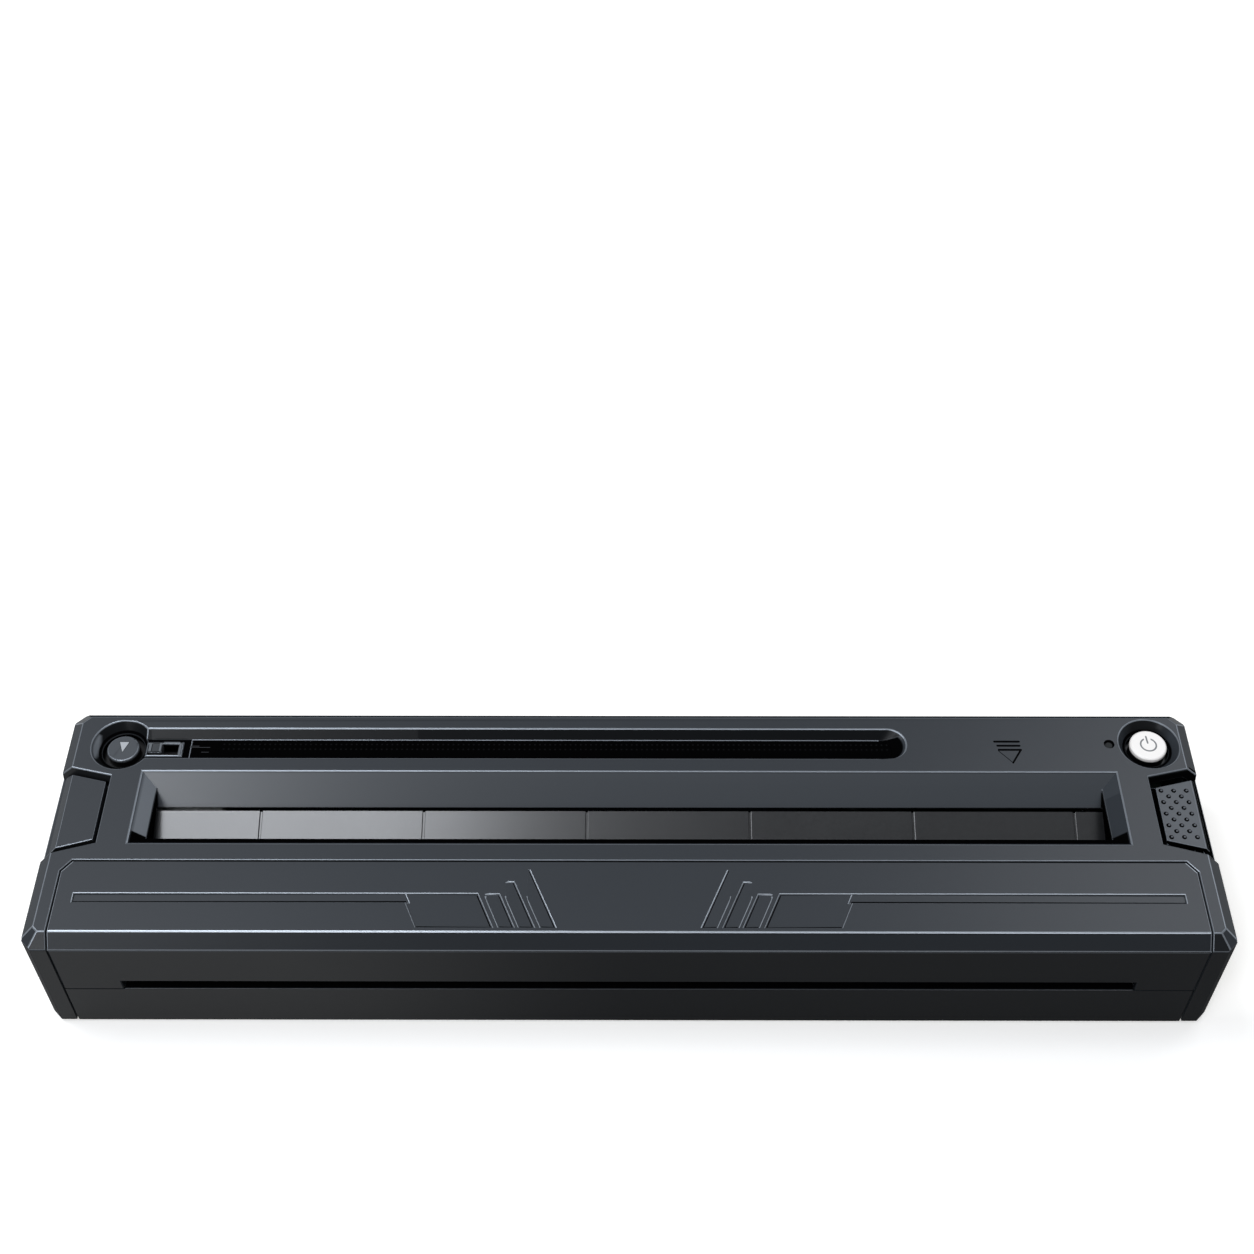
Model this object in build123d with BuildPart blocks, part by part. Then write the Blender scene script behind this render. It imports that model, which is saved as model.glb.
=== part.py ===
from build123d import *
import os
from math import acos, asin, atan2, ceil, cos, degrees, hypot, pi, radians, sin, sqrt, tan

os.makedirs("parts", exist_ok=True)

# Portable thermal stencil copier.
# Millimetres. X runs along the length, -Y is the front with the exit slot, +Z is up.
# The origin is on the table, under the middle of the case.

# ---------------------------------------------------------------- case
case_length = 264.0
case_depth = 64.0
case_height = 33.5
foot_height = 0.8
wall = 2.2
corner_cut = 2.2            # upright corners, seen from above
end_bevel_run = 2.7         # bevel along the two ends of the top face
end_bevel_drop = 2.4
front_bevel_run = 3.0       # bevel along the front of the top face
front_bevel_drop = 3.05
back_bevel_run = 2.3
back_bevel_drop = 2.3
corner_facet_slope = 50.7   # tilt of the small facet where three bevels meet, in degrees

top_z = foot_height + case_height
under_skin_z = top_z - wall
end_x = case_length / 2
front_y = -case_depth / 2
back_y = case_depth / 2
inner_end_x = end_x - wall
inner_back_y = back_y - wall
inner_front_y = front_y + wall

# ---------------------------------------------------------------- cover and its hinge
cover_half = 126.0          # half length of the cover
cover_back_y = -10.95
cover_corner_run = 2.2      # cut corners at the back of the cover
cover_corner_drop = 2.8
cover_bottom_z = 14.9
cover_wall = 2.0
cover_end_wall = 2.2
seam = 0.3                  # gap all round the cover
hinge_y = -29.0
hinge_z = 18.0
hinge_pin_r = 1.5
hinge_boss_r = 2.7
hinge_bore_clear = 0.05
hinge_cove_r = 4.5          # room for the lower edge of the cover to swing in
cheek_wall = 1.6
slot_half = 112.7           # exit slot
slot_top_z = 18.05
strip_top_z = 14.75         # top of the base's front strip

# ---------------------------------------------------------------- feed opening and paper path
feed_half = 112.8
feed_front_y = -6.2
feed_back_y = 13.9
funnel_depth = 3.1
funnel_end_run = 3.3
funnel_front_run = 3.4
slope_foot_y = 8.1          # foot of the rear slope
slope_foot_drop = 6.4
slope_thick = 1.6
guide_rear_y = 7.7          # lower guide plate, upper face
guide_rear_z = 27.2
guide_front_y = -9.0
guide_front_z = 21.8
guide_thick = 1.2
guide_half = 114.8
guide_angle = atan2(guide_rear_z - guide_front_z, guide_rear_y - guide_front_y)
guide_drop = guide_thick / cos(guide_angle)
guide_rest_z = guide_front_z - guide_drop - 0.01
exit_z = 16.1               # height of the sheet as it leaves the front

# ---------------------------------------------------------------- platen
platen_r = 5.5
platen_half = 108.5
shaft_r = 2.0
running_gap = 0.05
nip_y = -17.0
sheet_gap = 0.2
path_angle = atan2(guide_front_z - exit_z, guide_front_y - front_y)
path_cos = cos(path_angle)
path_sin = sin(path_angle)
nip_z = guide_front_z - (guide_front_y - nip_y) * tan(path_angle)
platen_y = nip_y - platen_r * path_sin
platen_z = nip_z + platen_r * path_cos
bush_r = 3.2
bush_end = 115.2

# ---------------------------------------------------------------- side frames and gears
frame_in = 113.5            # inner face of each side frame
frame_thick = 1.5
frame_out = frame_in + frame_thick
floor_thick = 2.0
floor_z = foot_height + floor_thick
tooth_module = 0.6
pressure_angle = radians(20)
backlash = 0.12
platen_teeth = 20
idler_teeth = 30
reduction_small_teeth = 12
reduction_large_teeth = 34
motor_teeth = 10
plane_a_out = -119.4        # gears that run in line with the platen gear
plane_a_in = -116.6
plane_b_out = -122.6        # gears that run in line with the motor pinion
plane_b_in = -120.3
axle_r = 1.5
reduction_z = 14.1
motor_z = 12.7
motor_r = 9.5
motor_inner_x = -95.5
motor_shaft_r = 1.0
motor_boss_r = 3.0


def pitch_radius(teeth):
    return tooth_module * teeth / 2


# The idler sits opposite the way the platen leaves, so the teeth pull straight out of mesh.
swing_y = hinge_y - platen_y
swing_z = hinge_z - platen_z
swing = hypot(swing_y, swing_z)
platen_idler = pitch_radius(platen_teeth + idler_teeth)
idler_y = platen_y - platen_idler * swing_z / swing
idler_z = platen_z + platen_idler * swing_y / swing
idler_reduction = pitch_radius(idler_teeth + reduction_small_teeth)
reduction_y = idler_y + sqrt(idler_reduction**2 - (reduction_z - idler_z) ** 2)
reduction_motor = pitch_radius(reduction_large_teeth + motor_teeth)
motor_y = reduction_y + sqrt(reduction_motor**2 - (reduction_z - motor_z) ** 2)

# ---------------------------------------------------------------- print head
head_half = 109.5
sink_half = 110.9
head_pivot_y = -4.39
head_pivot_z = 18.83
head_pin_r = 1.25
sink_bottom_z = 12.8
spring_r = 2.0
spring_wire_r = 0.35
spring_places = (-75, 0, 75)
head_spring_y = -14.6

# ---------------------------------------------------------------- controls on the top face
feed_button_x = -118.9
feed_button_y = 21.5
power_button_x = 121.7
power_button_y = 22.1
dish_r = 7.1
dish_floor_r = 5.5
dish_depth = 2.4
dish_boss_r = 8.4
button_r = 4.6
button_hole_r = 4.9
button_flange_r = 5.8
led_x = 112.4
led_y = 22.0
channel_depth = 2.0
channel_front_y = 17.7
channel_back_y = 26.3
channel_back_run = 1.8
channel_end_x = 64.9
channel_start_x = -114.0
strip_thick = 0.6

# ---------------------------------------------------------------- latch
recess_in_x = 119.8
recess_wall_back_y = 12.7
recess_wall_front_y = -6.0
recess_out_back_y = 15.8
recess_out_front_y = -9.8
recess_ledge_z = 30.4       # top of the end wall inside the recess
recess_lean = 1.35
pad_top_z = top_z - 2.3
slide_in_x = 117.4          # inner edge of the latch slide, under the skin
slide_top_z = 30.6
slide_bottom_z = 29.0
slide_gap = 0.12
latch_stop_y = -4.8
catch_ledge_y = -14.0
catch_ledge_z = 27.0
catch_half_width = 1.8
catch_top_z = top_z - cover_wall   # underside of the cover's skin
rivet_x = 115.0
rivet_y = (-18.6, -13.4)
rivet_r = 0.75
rivet_grip = 1.1            # depth of a rivet in the cover
hook_x = 120.0

# ---------------------------------------------------------------- inside
key_board_z = 25.0
key_board_thick = 1.2
boss_r = 3.0
screw_r = 1.2
screw_places = (
    (-126.9, 24.0),
    (126.9, 24.0),
    (-126.9, -5.0),
    (126.9, -5.0),
    (-45.0, 27.0),
    (47.0, 27.0),
)
usb_x = 92.0
usb_z = 8.4
cell_r = 9.2
cell_length = 65.0
cell_y = 14.5
cell_z = 12.2
cell_first_x = -90.0
board_z = 5.0
board_thick = 1.6
board_x = (52.0, 110.0)
board_y = (7.0, 28.5)
board_holes = ((55.5, 10.5), (103.5, 10.5), (55.5, 25.0), (103.5, 25.0))
foot_places = ((-112, -24), (112, -24), (-112, 24), (112, 24))


# ================================================================ shared outlines
def case_block(inset):
    """The case's outer form, or the same form moved inwards by inset."""
    half_x = end_x - inset
    half_y = back_y - inset
    top = top_z - inset
    shorten = inset * (2 - sqrt(2))
    with BuildPart() as block:
        with BuildSketch(Plane.YZ):
            with BuildLine():
                Polyline(
                    (-half_y, foot_height),
                    (half_y, foot_height),
                    (half_y, top - back_bevel_drop + shorten),
                    (half_y - back_bevel_run + shorten, top),
                    (-half_y + front_bevel_run - shorten, top),
                    (-half_y, top - front_bevel_drop + shorten),
                    close=True,
                )
            make_face()
        extrude(amount=half_x, both=True)
        with BuildSketch(Plane.XZ):
            with BuildLine():
                Polyline(
                    (-half_x, foot_height),
                    (half_x, foot_height),
                    (half_x, top - end_bevel_drop + shorten),
                    (half_x - end_bevel_run + shorten, top),
                    (-half_x + end_bevel_run - shorten, top),
                    (-half_x, top - end_bevel_drop + shorten),
                    close=True,
                )
            make_face()
        extrude(amount=half_y, both=True, mode=Mode.INTERSECT)
        with BuildSketch(Plane.XY.offset(foot_height)) as plan:
            Rectangle(2 * half_x, 2 * half_y)
            chamfer(plan.vertices(), max(corner_cut - shorten, 0.4))
        extrude(amount=case_height, mode=Mode.INTERSECT)
        if inset == 0:
            tilt = radians(corner_facet_slope)
            for side_x in (-1, 1):
                for side_y in (-1, 1):
                    facet = Plane(
                        origin=(side_x * 128.75, side_y * 28.4, top_z),
                        z_dir=(side_x * cos(tilt), side_y * cos(tilt), sqrt(2) * sin(tilt)),
                    )
                    split(bisect_by=facet, keep=Keep.BOTTOM)
    return block.part


def bay_outline(gap):
    """Plan of the front bay that the cover fills, grown on three sides by gap."""
    half = cover_half + gap
    back = cover_back_y + gap
    return (
        (-half, front_y - 2),
        (half, front_y - 2),
        (half, back - cover_corner_drop),
        (half - cover_corner_run, back),
        (-half + cover_corner_run, back),
        (-half, back - cover_corner_drop),
    )


def recess_outline(side, lean):
    """Plan of the flared recess at one end, its back edge moved forward by lean. side is 1 or -1."""
    return [
        (side * recess_in_x, recess_wall_front_y),
        (side * (end_x + 1), recess_out_front_y),
        (side * (end_x + 1), recess_out_back_y - lean),
        (side * recess_in_x, recess_wall_back_y - lean),
    ]


outer_block = case_block(0)
inner_block = case_block(wall)
cover_inner_block = case_block(cover_wall)


# ================================================================ top housing
with BuildPart() as top_housing:
    add(outer_block)
    add(inner_block, mode=Mode.SUBTRACT)

    # Front bay for the cover and the base's front strip.
    with BuildSketch(Plane.XY):
        Polygon(*bay_outline(seam), align=None)
    extrude(amount=top_z + 1, mode=Mode.SUBTRACT)

    # Cheeks beside the cover. They carry the hinge pins.
    cheek_back_y = -9.4
    cheek_low_z = floor_z + 0.2
    for side in (-1, 1):
        cheek_x = side * (cover_half + seam + cheek_wall / 2)
        with Locations((cheek_x, (inner_front_y - 0.1 + cheek_back_y) / 2, (cheek_low_z + under_skin_z) / 2)):
            Box(cheek_wall, cheek_back_y - inner_front_y + 0.1, under_skin_z - cheek_low_z + 0.1)
    for side in (-1, 1):
        with BuildSketch(Plane.YZ.offset(side * cover_half)):
            with Locations((hinge_y, hinge_z)):
                Circle(hinge_pin_r + hinge_bore_clear)
        extrude(amount=side * 2.7, mode=Mode.SUBTRACT)

    # Thicker skin round the feed opening, under the controls and under the long channel.
    rim_drop = funnel_depth + 0.4
    with BuildSketch(Plane.XY.offset(top_z - rim_drop)):
        with Locations((0, (feed_front_y + 0.8 + feed_back_y + 1) / 2)):
            Rectangle(2 * feed_half + 4, feed_back_y + 1 - feed_front_y - 0.8)
    extrude(amount=rim_drop - wall + 0.1)
    with BuildSketch(Plane.XY.offset(top_z - dish_depth - 1.4)):
        for x, y in ((feed_button_x, feed_button_y), (power_button_x, power_button_y)):
            with Locations((x, y)):
                Circle(dish_boss_r)
    extrude(amount=dish_depth + 1.4 - wall + 0.1)
    channel_skin = channel_depth + strip_thick + 1.0
    with BuildSketch(Plane.XY.offset(top_z - channel_skin)):
        with Locations(((channel_start_x + channel_end_x) / 2, (channel_front_y + channel_back_y) / 2)):
            Rectangle(channel_end_x - channel_start_x + 3, channel_back_y - channel_front_y + 3)
    extrude(amount=channel_skin - wall + 0.1)

    # Rear slope of the feed opening and the end walls of the throat.
    slope_angle = atan2(slope_foot_drop, feed_back_y - slope_foot_y)
    slope_back = slope_thick / sin(slope_angle)
    slope_half = feed_half - funnel_end_run + 1.4
    with BuildSketch(Plane.YZ.offset(-slope_half)):
        Polygon(
            (feed_back_y, top_z),
            (slope_foot_y, top_z - slope_foot_drop),
            (slope_foot_y + 1.2, top_z - slope_foot_drop - 0.5),
            (feed_back_y + slope_back, top_z - wall),
            align=None,
        )
    extrude(amount=2 * slope_half)
    throat_half = feed_half - funnel_end_run
    for side in (-1, 1):
        with BuildSketch(Plane.YZ.offset(side * (throat_half + 0.2))):
            Polygon(
                (feed_front_y + funnel_front_run, top_z - rim_drop + 0.1),
                (feed_front_y + funnel_front_run, 24.3),
                (slope_foot_y + 0.6, 27.9),
                (feed_back_y, 28.6),
                (feed_back_y, top_z - rim_drop + 0.1),
                align=None,
            )
        extrude(amount=side * 1.2)

    # The funnel: bevelled lead-in at the front and the two ends, straight below it.
    inner_front = feed_front_y + funnel_front_run
    slope_at_funnel_y = feed_back_y - funnel_depth / tan(slope_angle)
    with BuildSketch(Plane.XY.offset(top_z)):
        with Locations((0, (feed_front_y + feed_back_y) / 2)):
            Rectangle(2 * feed_half, feed_back_y - feed_front_y)
    with BuildSketch(Plane.XY.offset(top_z - funnel_depth)):
        with Locations((0, (inner_front + slope_at_funnel_y) / 2)):
            Rectangle(2 * throat_half, slope_at_funnel_y - inner_front)
    loft(mode=Mode.SUBTRACT)
    below_rim = rim_drop + 0.2
    with BuildSketch(Plane.YZ.offset(-throat_half)):
        Polygon(
            (inner_front, top_z - funnel_depth),
            (slope_at_funnel_y, top_z - funnel_depth),
            (feed_back_y - below_rim / tan(slope_angle), top_z - below_rim),
            (inner_front, top_z - below_rim),
            align=None,
        )
    extrude(amount=2 * throat_half, mode=Mode.SUBTRACT)

    # Dishes round the two buttons, and the holes for the caps.
    for x, y in ((feed_button_x, feed_button_y), (power_button_x, power_button_y)):
        with BuildSketch(Plane.XY.offset(top_z - dish_depth)):
            with Locations((x, y)):
                Circle(dish_floor_r)
        extrude(amount=dish_depth, taper=-degrees(atan2(dish_r - dish_floor_r, dish_depth)), mode=Mode.SUBTRACT)
        with Locations((x, y, top_z - dish_depth)):
            Hole(button_hole_r, depth=3)

    # Long channel with its sloped back wall and rounded end.
    channel_floor_back = channel_back_y - channel_back_run
    floor_r = (channel_floor_back - channel_front_y) / 2
    mouth_r = floor_r + channel_back_run / 2
    with BuildSketch(Plane.XY.offset(top_z - channel_depth)):
        with Locations(((channel_start_x + channel_end_x - 2.6 - floor_r) / 2, channel_front_y + floor_r)):
            Rectangle(channel_end_x - 2.6 - floor_r - channel_start_x, 2 * floor_r)
        with Locations((channel_end_x - 2.6 - floor_r, channel_front_y + floor_r)):
            Circle(floor_r)
    with BuildSketch(Plane.XY.offset(top_z)):
        with Locations(((channel_start_x + channel_end_x - mouth_r) / 2, channel_front_y + mouth_r)):
            Rectangle(channel_end_x - mouth_r - channel_start_x, 2 * mouth_r)
        with Locations((channel_end_x - mouth_r, channel_front_y + mouth_r)):
            Circle(mouth_r)
    loft(mode=Mode.SUBTRACT)
    # Bed of the dotted strip, and the window for the slide switch.
    with BuildSketch(Plane.XY.offset(top_z - channel_depth - strip_thick)):
        with Locations(((-103.0 + channel_end_x - 3.0 - floor_r) / 2, channel_front_y + floor_r)):
            Rectangle(channel_end_x - 3.0 - floor_r + 103.0, 2 * floor_r - 0.4)
        with Locations((channel_end_x - 3.0 - floor_r, channel_front_y + floor_r)):
            Circle(floor_r - 0.2)
    extrude(amount=strip_thick, mode=Mode.SUBTRACT)
    with Locations((-109.05, 21.1, top_z - channel_depth - 1)):
        Box(7.9, 3.6, 4, mode=Mode.SUBTRACT)

    # Flared recesses at both ends. Their back walls lean.
    for side in (-1, 1):
        with BuildSketch(Plane.XY.offset(recess_ledge_z)):
            Polygon(*recess_outline(side, recess_lean), align=None)
        with BuildSketch(Plane.XY.offset(top_z)):
            Polygon(*recess_outline(side, 0), align=None)
        loft(mode=Mode.SUBTRACT)

    # Rail along the inner edge of the latch slide: a ledge below it and a lip above it.
    rail_x = slide_in_x - 1.1
    rail_low_z = slide_bottom_z - slide_gap - 1.0
    with BuildSketch(Plane.XZ.offset(-9.0)):
        Polygon(
            (rail_x, rail_low_z),
            (slide_in_x + 0.9, rail_low_z),
            (slide_in_x + 0.9, slide_bottom_z - slide_gap),
            (slide_in_x - 0.2, slide_bottom_z - slide_gap),
            (slide_in_x - 0.2, slide_top_z + slide_gap),
            (slide_in_x + 1.6, slide_top_z + slide_gap),
            (slide_in_x + 1.6, under_skin_z + 0.1),
            (rail_x, under_skin_z + 0.1),
            align=None,
        )
    extrude(amount=15.0)
    # Ledge on the end wall, and the block in front that the latch spring pushes against.
    with Locations((inner_end_x - 0.65, 1.0, slide_bottom_z - slide_gap - 0.5)):
        Box(1.5, 14.0, 1.0)
    with Locations((inner_end_x - 3.4, latch_stop_y, slide_bottom_z - 2.6)):
        Box(7.0, 1.6, 3.8)

    # Light pipe hole beside the power button.
    with Locations((led_x, led_y, top_z)):
        CounterBoreHole(radius=0.85, counter_bore_radius=1.25, counter_bore_depth=0.5, depth=5)

    # Posts and ledges for the two key boards.
    post_low_z = key_board_z + key_board_thick
    for x, y in ((-104.5, 15.6), (-124.8, 16.2), (110.3, 16.6), (126.6, 16.0)):
        with BuildSketch(Plane.XY.offset(post_low_z)):
            with Locations((x, y)):
                Circle(1.5)
        extrude(until=Until.NEXT)
    for x, length in ((-112.5, 16.0), (117.0, 14.0)):
        with Locations((x, inner_back_y - 0.8, key_board_z - 0.7)):
            Box(length, 1.8, 1.4)

    # Screw bosses: four on the end walls, two under the back of the skin.
    boss_low_z = floor_z + 0.05
    for x, y in screw_places:
        boss_tall = 13.0 if abs(x) > 100 else top_z - channel_skin + 0.1 - boss_low_z
        with BuildSketch(Plane.XY.offset(boss_low_z)):
            with Locations((x, y)):
                Circle(boss_r)
        extrude(amount=boss_tall)
    with BuildSketch(Plane.XY.offset(boss_low_z)):
        with Locations(*screw_places):
            Circle(screw_r + 0.05)
    extrude(amount=9, mode=Mode.SUBTRACT)

    # Slot for the charging socket in the back wall.
    with BuildSketch(Plane.XZ.offset(-back_y - 1)):
        with Locations((usb_x, usb_z)):
            SlotOverall(9.5, 3.7)
    extrude(amount=wall + 2, mode=Mode.SUBTRACT)
top_housing.part.label = "top_housing"
export_step(top_housing.part, "parts/top_housing.step")


# ================================================================ base tray
strip_half = cover_half + seam - 0.4
ramp_half = slot_half - 0.4
ramp_foot_y = -28.6
ramp_top_y = -24.5
ramp_top_z = 16.6
with BuildPart() as base_tray:
    with BuildSketch(Plane.XY.offset(foot_height)) as floor_plan:
        Rectangle(2 * (inner_end_x - 0.2), 2 * (inner_back_y - 0.2))
        chamfer(floor_plan.vertices(), 1.2)
    extrude(amount=floor_thick)

    # Front strip below the exit slot, hollowed at its ends where the cover swings down.
    strip_deep = 2.6
    with Locations((0, front_y + strip_deep / 2, (foot_height + strip_top_z) / 2)):
        Box(2 * strip_half, strip_deep, strip_top_z - foot_height)
    for side in (-1, 1):
        with BuildSketch(Plane.YZ.offset(side * (slot_half - 0.2))):
            with Locations((hinge_y, hinge_z)):
                Circle(hinge_cove_r)
        extrude(amount=side * 15, mode=Mode.SUBTRACT)

    # Ramp that carries the sheet out, and the ribs under it.
    with BuildSketch(Plane.YZ.offset(-ramp_half)):
        Polygon(
            (front_y + 0.4, strip_top_z),
            (ramp_foot_y, strip_top_z),
            (ramp_top_y, ramp_top_z),
            (ramp_top_y, ramp_top_z - 1.6),
            (ramp_foot_y, strip_top_z - 1.6),
            (front_y + 0.4, strip_top_z - 1.6),
            align=None,
        )
    extrude(amount=2 * ramp_half)
    for x in range(-108, 109, 36):
        with BuildSketch(Plane.YZ.offset(x - 0.6)):
            Polygon(
                (front_y + 1, floor_z - 0.1),
                (ramp_top_y, floor_z - 0.1),
                (ramp_top_y, ramp_top_z - 0.8),
                (ramp_foot_y, strip_top_z - 0.8),
                (front_y + 1, strip_top_z - 0.8),
                align=None,
            )
        extrude(amount=1.2)

    # Cradle ribs for the two cells.
    for x in (-86.0, -58.0, -30.0, -20.0, 8.0, 36.0):
        with Locations((x, cell_y, floor_z + 3.0)):
            Box(1.6, 2 * cell_r + 3.0, 6.2)
    with BuildSketch(Plane.YZ.offset(cell_first_x - 1)):
        with Locations((cell_y, cell_z)):
            Circle(cell_r + 0.1)
    extrude(amount=2 * cell_length + 3, mode=Mode.SUBTRACT)

    # Standoffs for the main board and a low block under the motor.
    for x, y in board_holes:
        with BuildSketch(Plane.XY.offset(floor_z - 0.1)):
            with Locations((x, y)):
                Circle(2.6)
                Circle(0.9, mode=Mode.SUBTRACT)
        extrude(amount=board_z - floor_z + 0.1)

    # Short pegs that the head springs stand round.
    for x in spring_places:
        with Locations((x, head_spring_y, floor_z + 0.9)):
            Cylinder(spring_r - spring_wire_r - 0.35, 2.0)

    # Sockets for the feet and the counterbored screw holes.
    for x, y in foot_places:
        with Locations((x, y, foot_height)):
            Box(16.2, 8.2, 1.04, mode=Mode.SUBTRACT)
    for x, y in screw_places:
        with Locations(Plane(origin=(x, y, foot_height), z_dir=(0, 0, -1))):
            CounterBoreHole(radius=screw_r + 0.2, counter_bore_radius=2.6, counter_bore_depth=1.1, depth=5)
base_tray.part.label = "base_tray"
export_step(base_tray.part, "parts/base_tray.step")


# ================================================================ front cover
def cover_core():
    """The hollow of the cover: the case's inner form between the cover's end walls."""
    with BuildPart() as core:
        add(cover_inner_block)
        with Locations((0, 0, case_height / 2)):
            Box(2 * (cover_half - cover_end_wall), case_depth, 2 * case_height, mode=Mode.INTERSECT)
    return core.part


def ramped_recess(outline, deep_x, far_x):
    """A cutter under the top face whose floor climbs from the decor's depth at deep_x to half of it at far_x."""
    slope = atan2(decor_depth / 2, abs(far_x - deep_x))
    lean = 1 if far_x > deep_x else -1
    floor_plane = Plane(
        origin=(deep_x, 0, top_z - decor_depth),
        x_dir=(cos(slope), 0, lean * sin(slope)),
        z_dir=(-lean * sin(slope), 0, cos(slope)),
    )
    with BuildPart() as cutter:
        with BuildSketch(Plane.XY.offset(top_z - decor_depth - 0.2)):
            Polygon(*outline, align=None)
        extrude(amount=decor_depth + 1.2)
        split(bisect_by=floor_plane, keep=Keep.TOP)
    return cutter.part


decor_front_y = -27.8
decor_lean = 0.42           # sideways drift of every slanted edge, per mm of y
bar_inner_x = (25.0, 20.6, 15.9)
bar_top_y = (-19.5, -16.35, -13.1)
bar_wide = 3.2
plaque_x = (29.7, 46.2)
groove_y = (-21.5, -19.4)
groove_out_x = 122.0
decor_depth = 0.5


def slanted(x, y, side):
    """Sketch point at the front-line position x moved along the lean to the height y."""
    return (side * (x + decor_lean * (y - decor_front_y)), y)


def slanted_bar(inner_x, outer_x, low_y, high_y, side):
    """Outline of a bar between two slanted edges."""
    return (
        slanted(inner_x, low_y, side),
        slanted(outer_x, low_y, side),
        slanted(outer_x, high_y, side),
        slanted(inner_x, high_y, side),
    )


decor_cutters = []
for side in (-1, 1):
    for inner_x, high_y in zip(bar_inner_x, bar_top_y):
        bar = slanted_bar(inner_x, inner_x + bar_wide, decor_front_y, high_y, side)
        decor_cutters.append(ramped_recess(bar, side * inner_x, side * (inner_x + bar_wide)))
    plaque = slanted_bar(plaque_x[0], plaque_x[1], decor_front_y, groove_y[1], side)
    decor_cutters.append(ramped_recess(plaque, side * plaque_x[0], side * plaque_x[1]))
    groove = (
        slanted(plaque_x[1] - 0.6, groove_y[0], side),
        (side * groove_out_x, groove_y[0]),
        (side * groove_out_x, groove_y[1]),
        slanted(plaque_x[1] - 0.6, groove_y[1], side),
    )
    decor_cutters.append(ramped_recess(groove, side * groove_out_x, side * plaque_x[1]))

arm_in = 110.0
arm_thick = 2.0
cover_hollow = cover_core()
with BuildPart() as front_cover:
    add(outer_block)
    with BuildSketch(Plane.XY.offset(cover_bottom_z)):
        Polygon(*bay_outline(0), align=None)
    extrude(amount=top_z, mode=Mode.INTERSECT)
    add(cover_hollow, mode=Mode.SUBTRACT)
    # Lower rear corner of the end walls.
    with BuildSketch(Plane.YZ.offset(-cover_half - 1)):
        Polygon((-27.5, 14.0), (-27.5, 14.9), (-22, 20), (-11, 22), (-9, 22), (-9, 14.0), align=None)
    extrude(amount=2 * cover_half + 2, mode=Mode.SUBTRACT)
    # Exit slot.
    with Locations((0, front_y, (cover_bottom_z + slot_top_z) / 2 - 1)):
        Box(2 * slot_half, 10, slot_top_z - cover_bottom_z + 2, mode=Mode.SUBTRACT)
    # Hinge bosses inside the end walls.
    for side in (-1, 1):
        with BuildSketch(Plane.YZ.offset(side * (cover_half - cover_end_wall - 2.4))):
            with Locations((hinge_y, hinge_z)):
                Circle(hinge_boss_r)
        extrude(amount=side * 3.0)
    for side in (-1, 1):
        with BuildSketch(Plane.YZ.offset(side * 120)):
            with Locations((hinge_y, hinge_z)):
                Circle(hinge_pin_r)
        extrude(amount=side * 8, mode=Mode.SUBTRACT)
    # Arms that carry the platen.
    for side in (-1, 1):
        with BuildSketch(Plane.YZ.offset(side * arm_in)):
            with Locations((platen_y, platen_z)):
                Circle(4.8)
            Polygon(
                (platen_y - 6.5, top_z - cover_wall + 0.1),
                (platen_y - 4.2, platen_z),
                (platen_y + 4.2, platen_z),
                (platen_y + 6.0, top_z - cover_wall + 0.1),
                align=None,
            )
            with Locations((platen_y, platen_z)):
                Circle(bush_r, mode=Mode.SUBTRACT)
        extrude(amount=side * arm_thick)
    # Blind holes for the two rivets of the latch's catch.
    for y in rivet_y:
        with Locations((rivet_x, y, catch_top_z)):
            Cylinder(rivet_r, 2 * rivet_grip, mode=Mode.SUBTRACT)
    # Fine line along the front, just below the bevel.
    with Locations((0, front_y, top_z - front_bevel_drop - 0.15)):
        Box(2 * cover_half + 2, 0.5, 0.25, mode=Mode.SUBTRACT)
    # Slanted bars, plaques and long grooves in the top face.
    for cutter in decor_cutters:
        add(cutter, mode=Mode.SUBTRACT)
front_cover.part.label = "front_cover"
export_step(front_cover.part, "parts/front_cover.step")

# Metal catch under the cover: a foot riveted to the skin, and a leg with a striker that the latch hook bites.
catch_foot = 0.9
leg_y = (-12.7, -11.2)
leg_low_z = catch_ledge_z - 2.6
with BuildPart() as cover_catch:
    with BuildSketch(Plane.YZ.offset(hook_x - catch_half_width)):
        Polygon(
            (leg_y[1], catch_top_z),
            (leg_y[1], leg_low_z),
            (leg_y[0], leg_low_z),
            (leg_y[0], catch_top_z),
            align=None,
        )
    extrude(amount=2 * catch_half_width)
    with BuildSketch(Plane.XY.offset(catch_top_z)):
        Polygon(
            (rivet_x - 2.0, leg_y[1]),
            (hook_x - catch_half_width, leg_y[1]),
            (hook_x - catch_half_width, rivet_y[0] - 2.0),
            (rivet_x - 2.0, rivet_y[0] - 2.0),
            align=None,
        )
    extrude(amount=-catch_foot)
    for y in rivet_y:
        with Locations((rivet_x, y, catch_top_z)):
            Cylinder(rivet_r, 4 * catch_foot, mode=Mode.SUBTRACT)
cover_catch.part.label = "cover_catch"
export_step(cover_catch.part, "parts/cover_catch.step")

with BuildPart() as catch_striker:
    with BuildSketch(Plane.YZ.offset(hook_x - catch_half_width)):
        Polygon(
            (leg_y[0], leg_low_z),
            (catch_ledge_y, catch_ledge_z),
            (leg_y[0], catch_ledge_z),
            align=None,
        )
    extrude(amount=2 * catch_half_width)
catch_striker.part.label = "catch_striker"
export_step(catch_striker.part, "parts/catch_striker.step")

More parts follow.
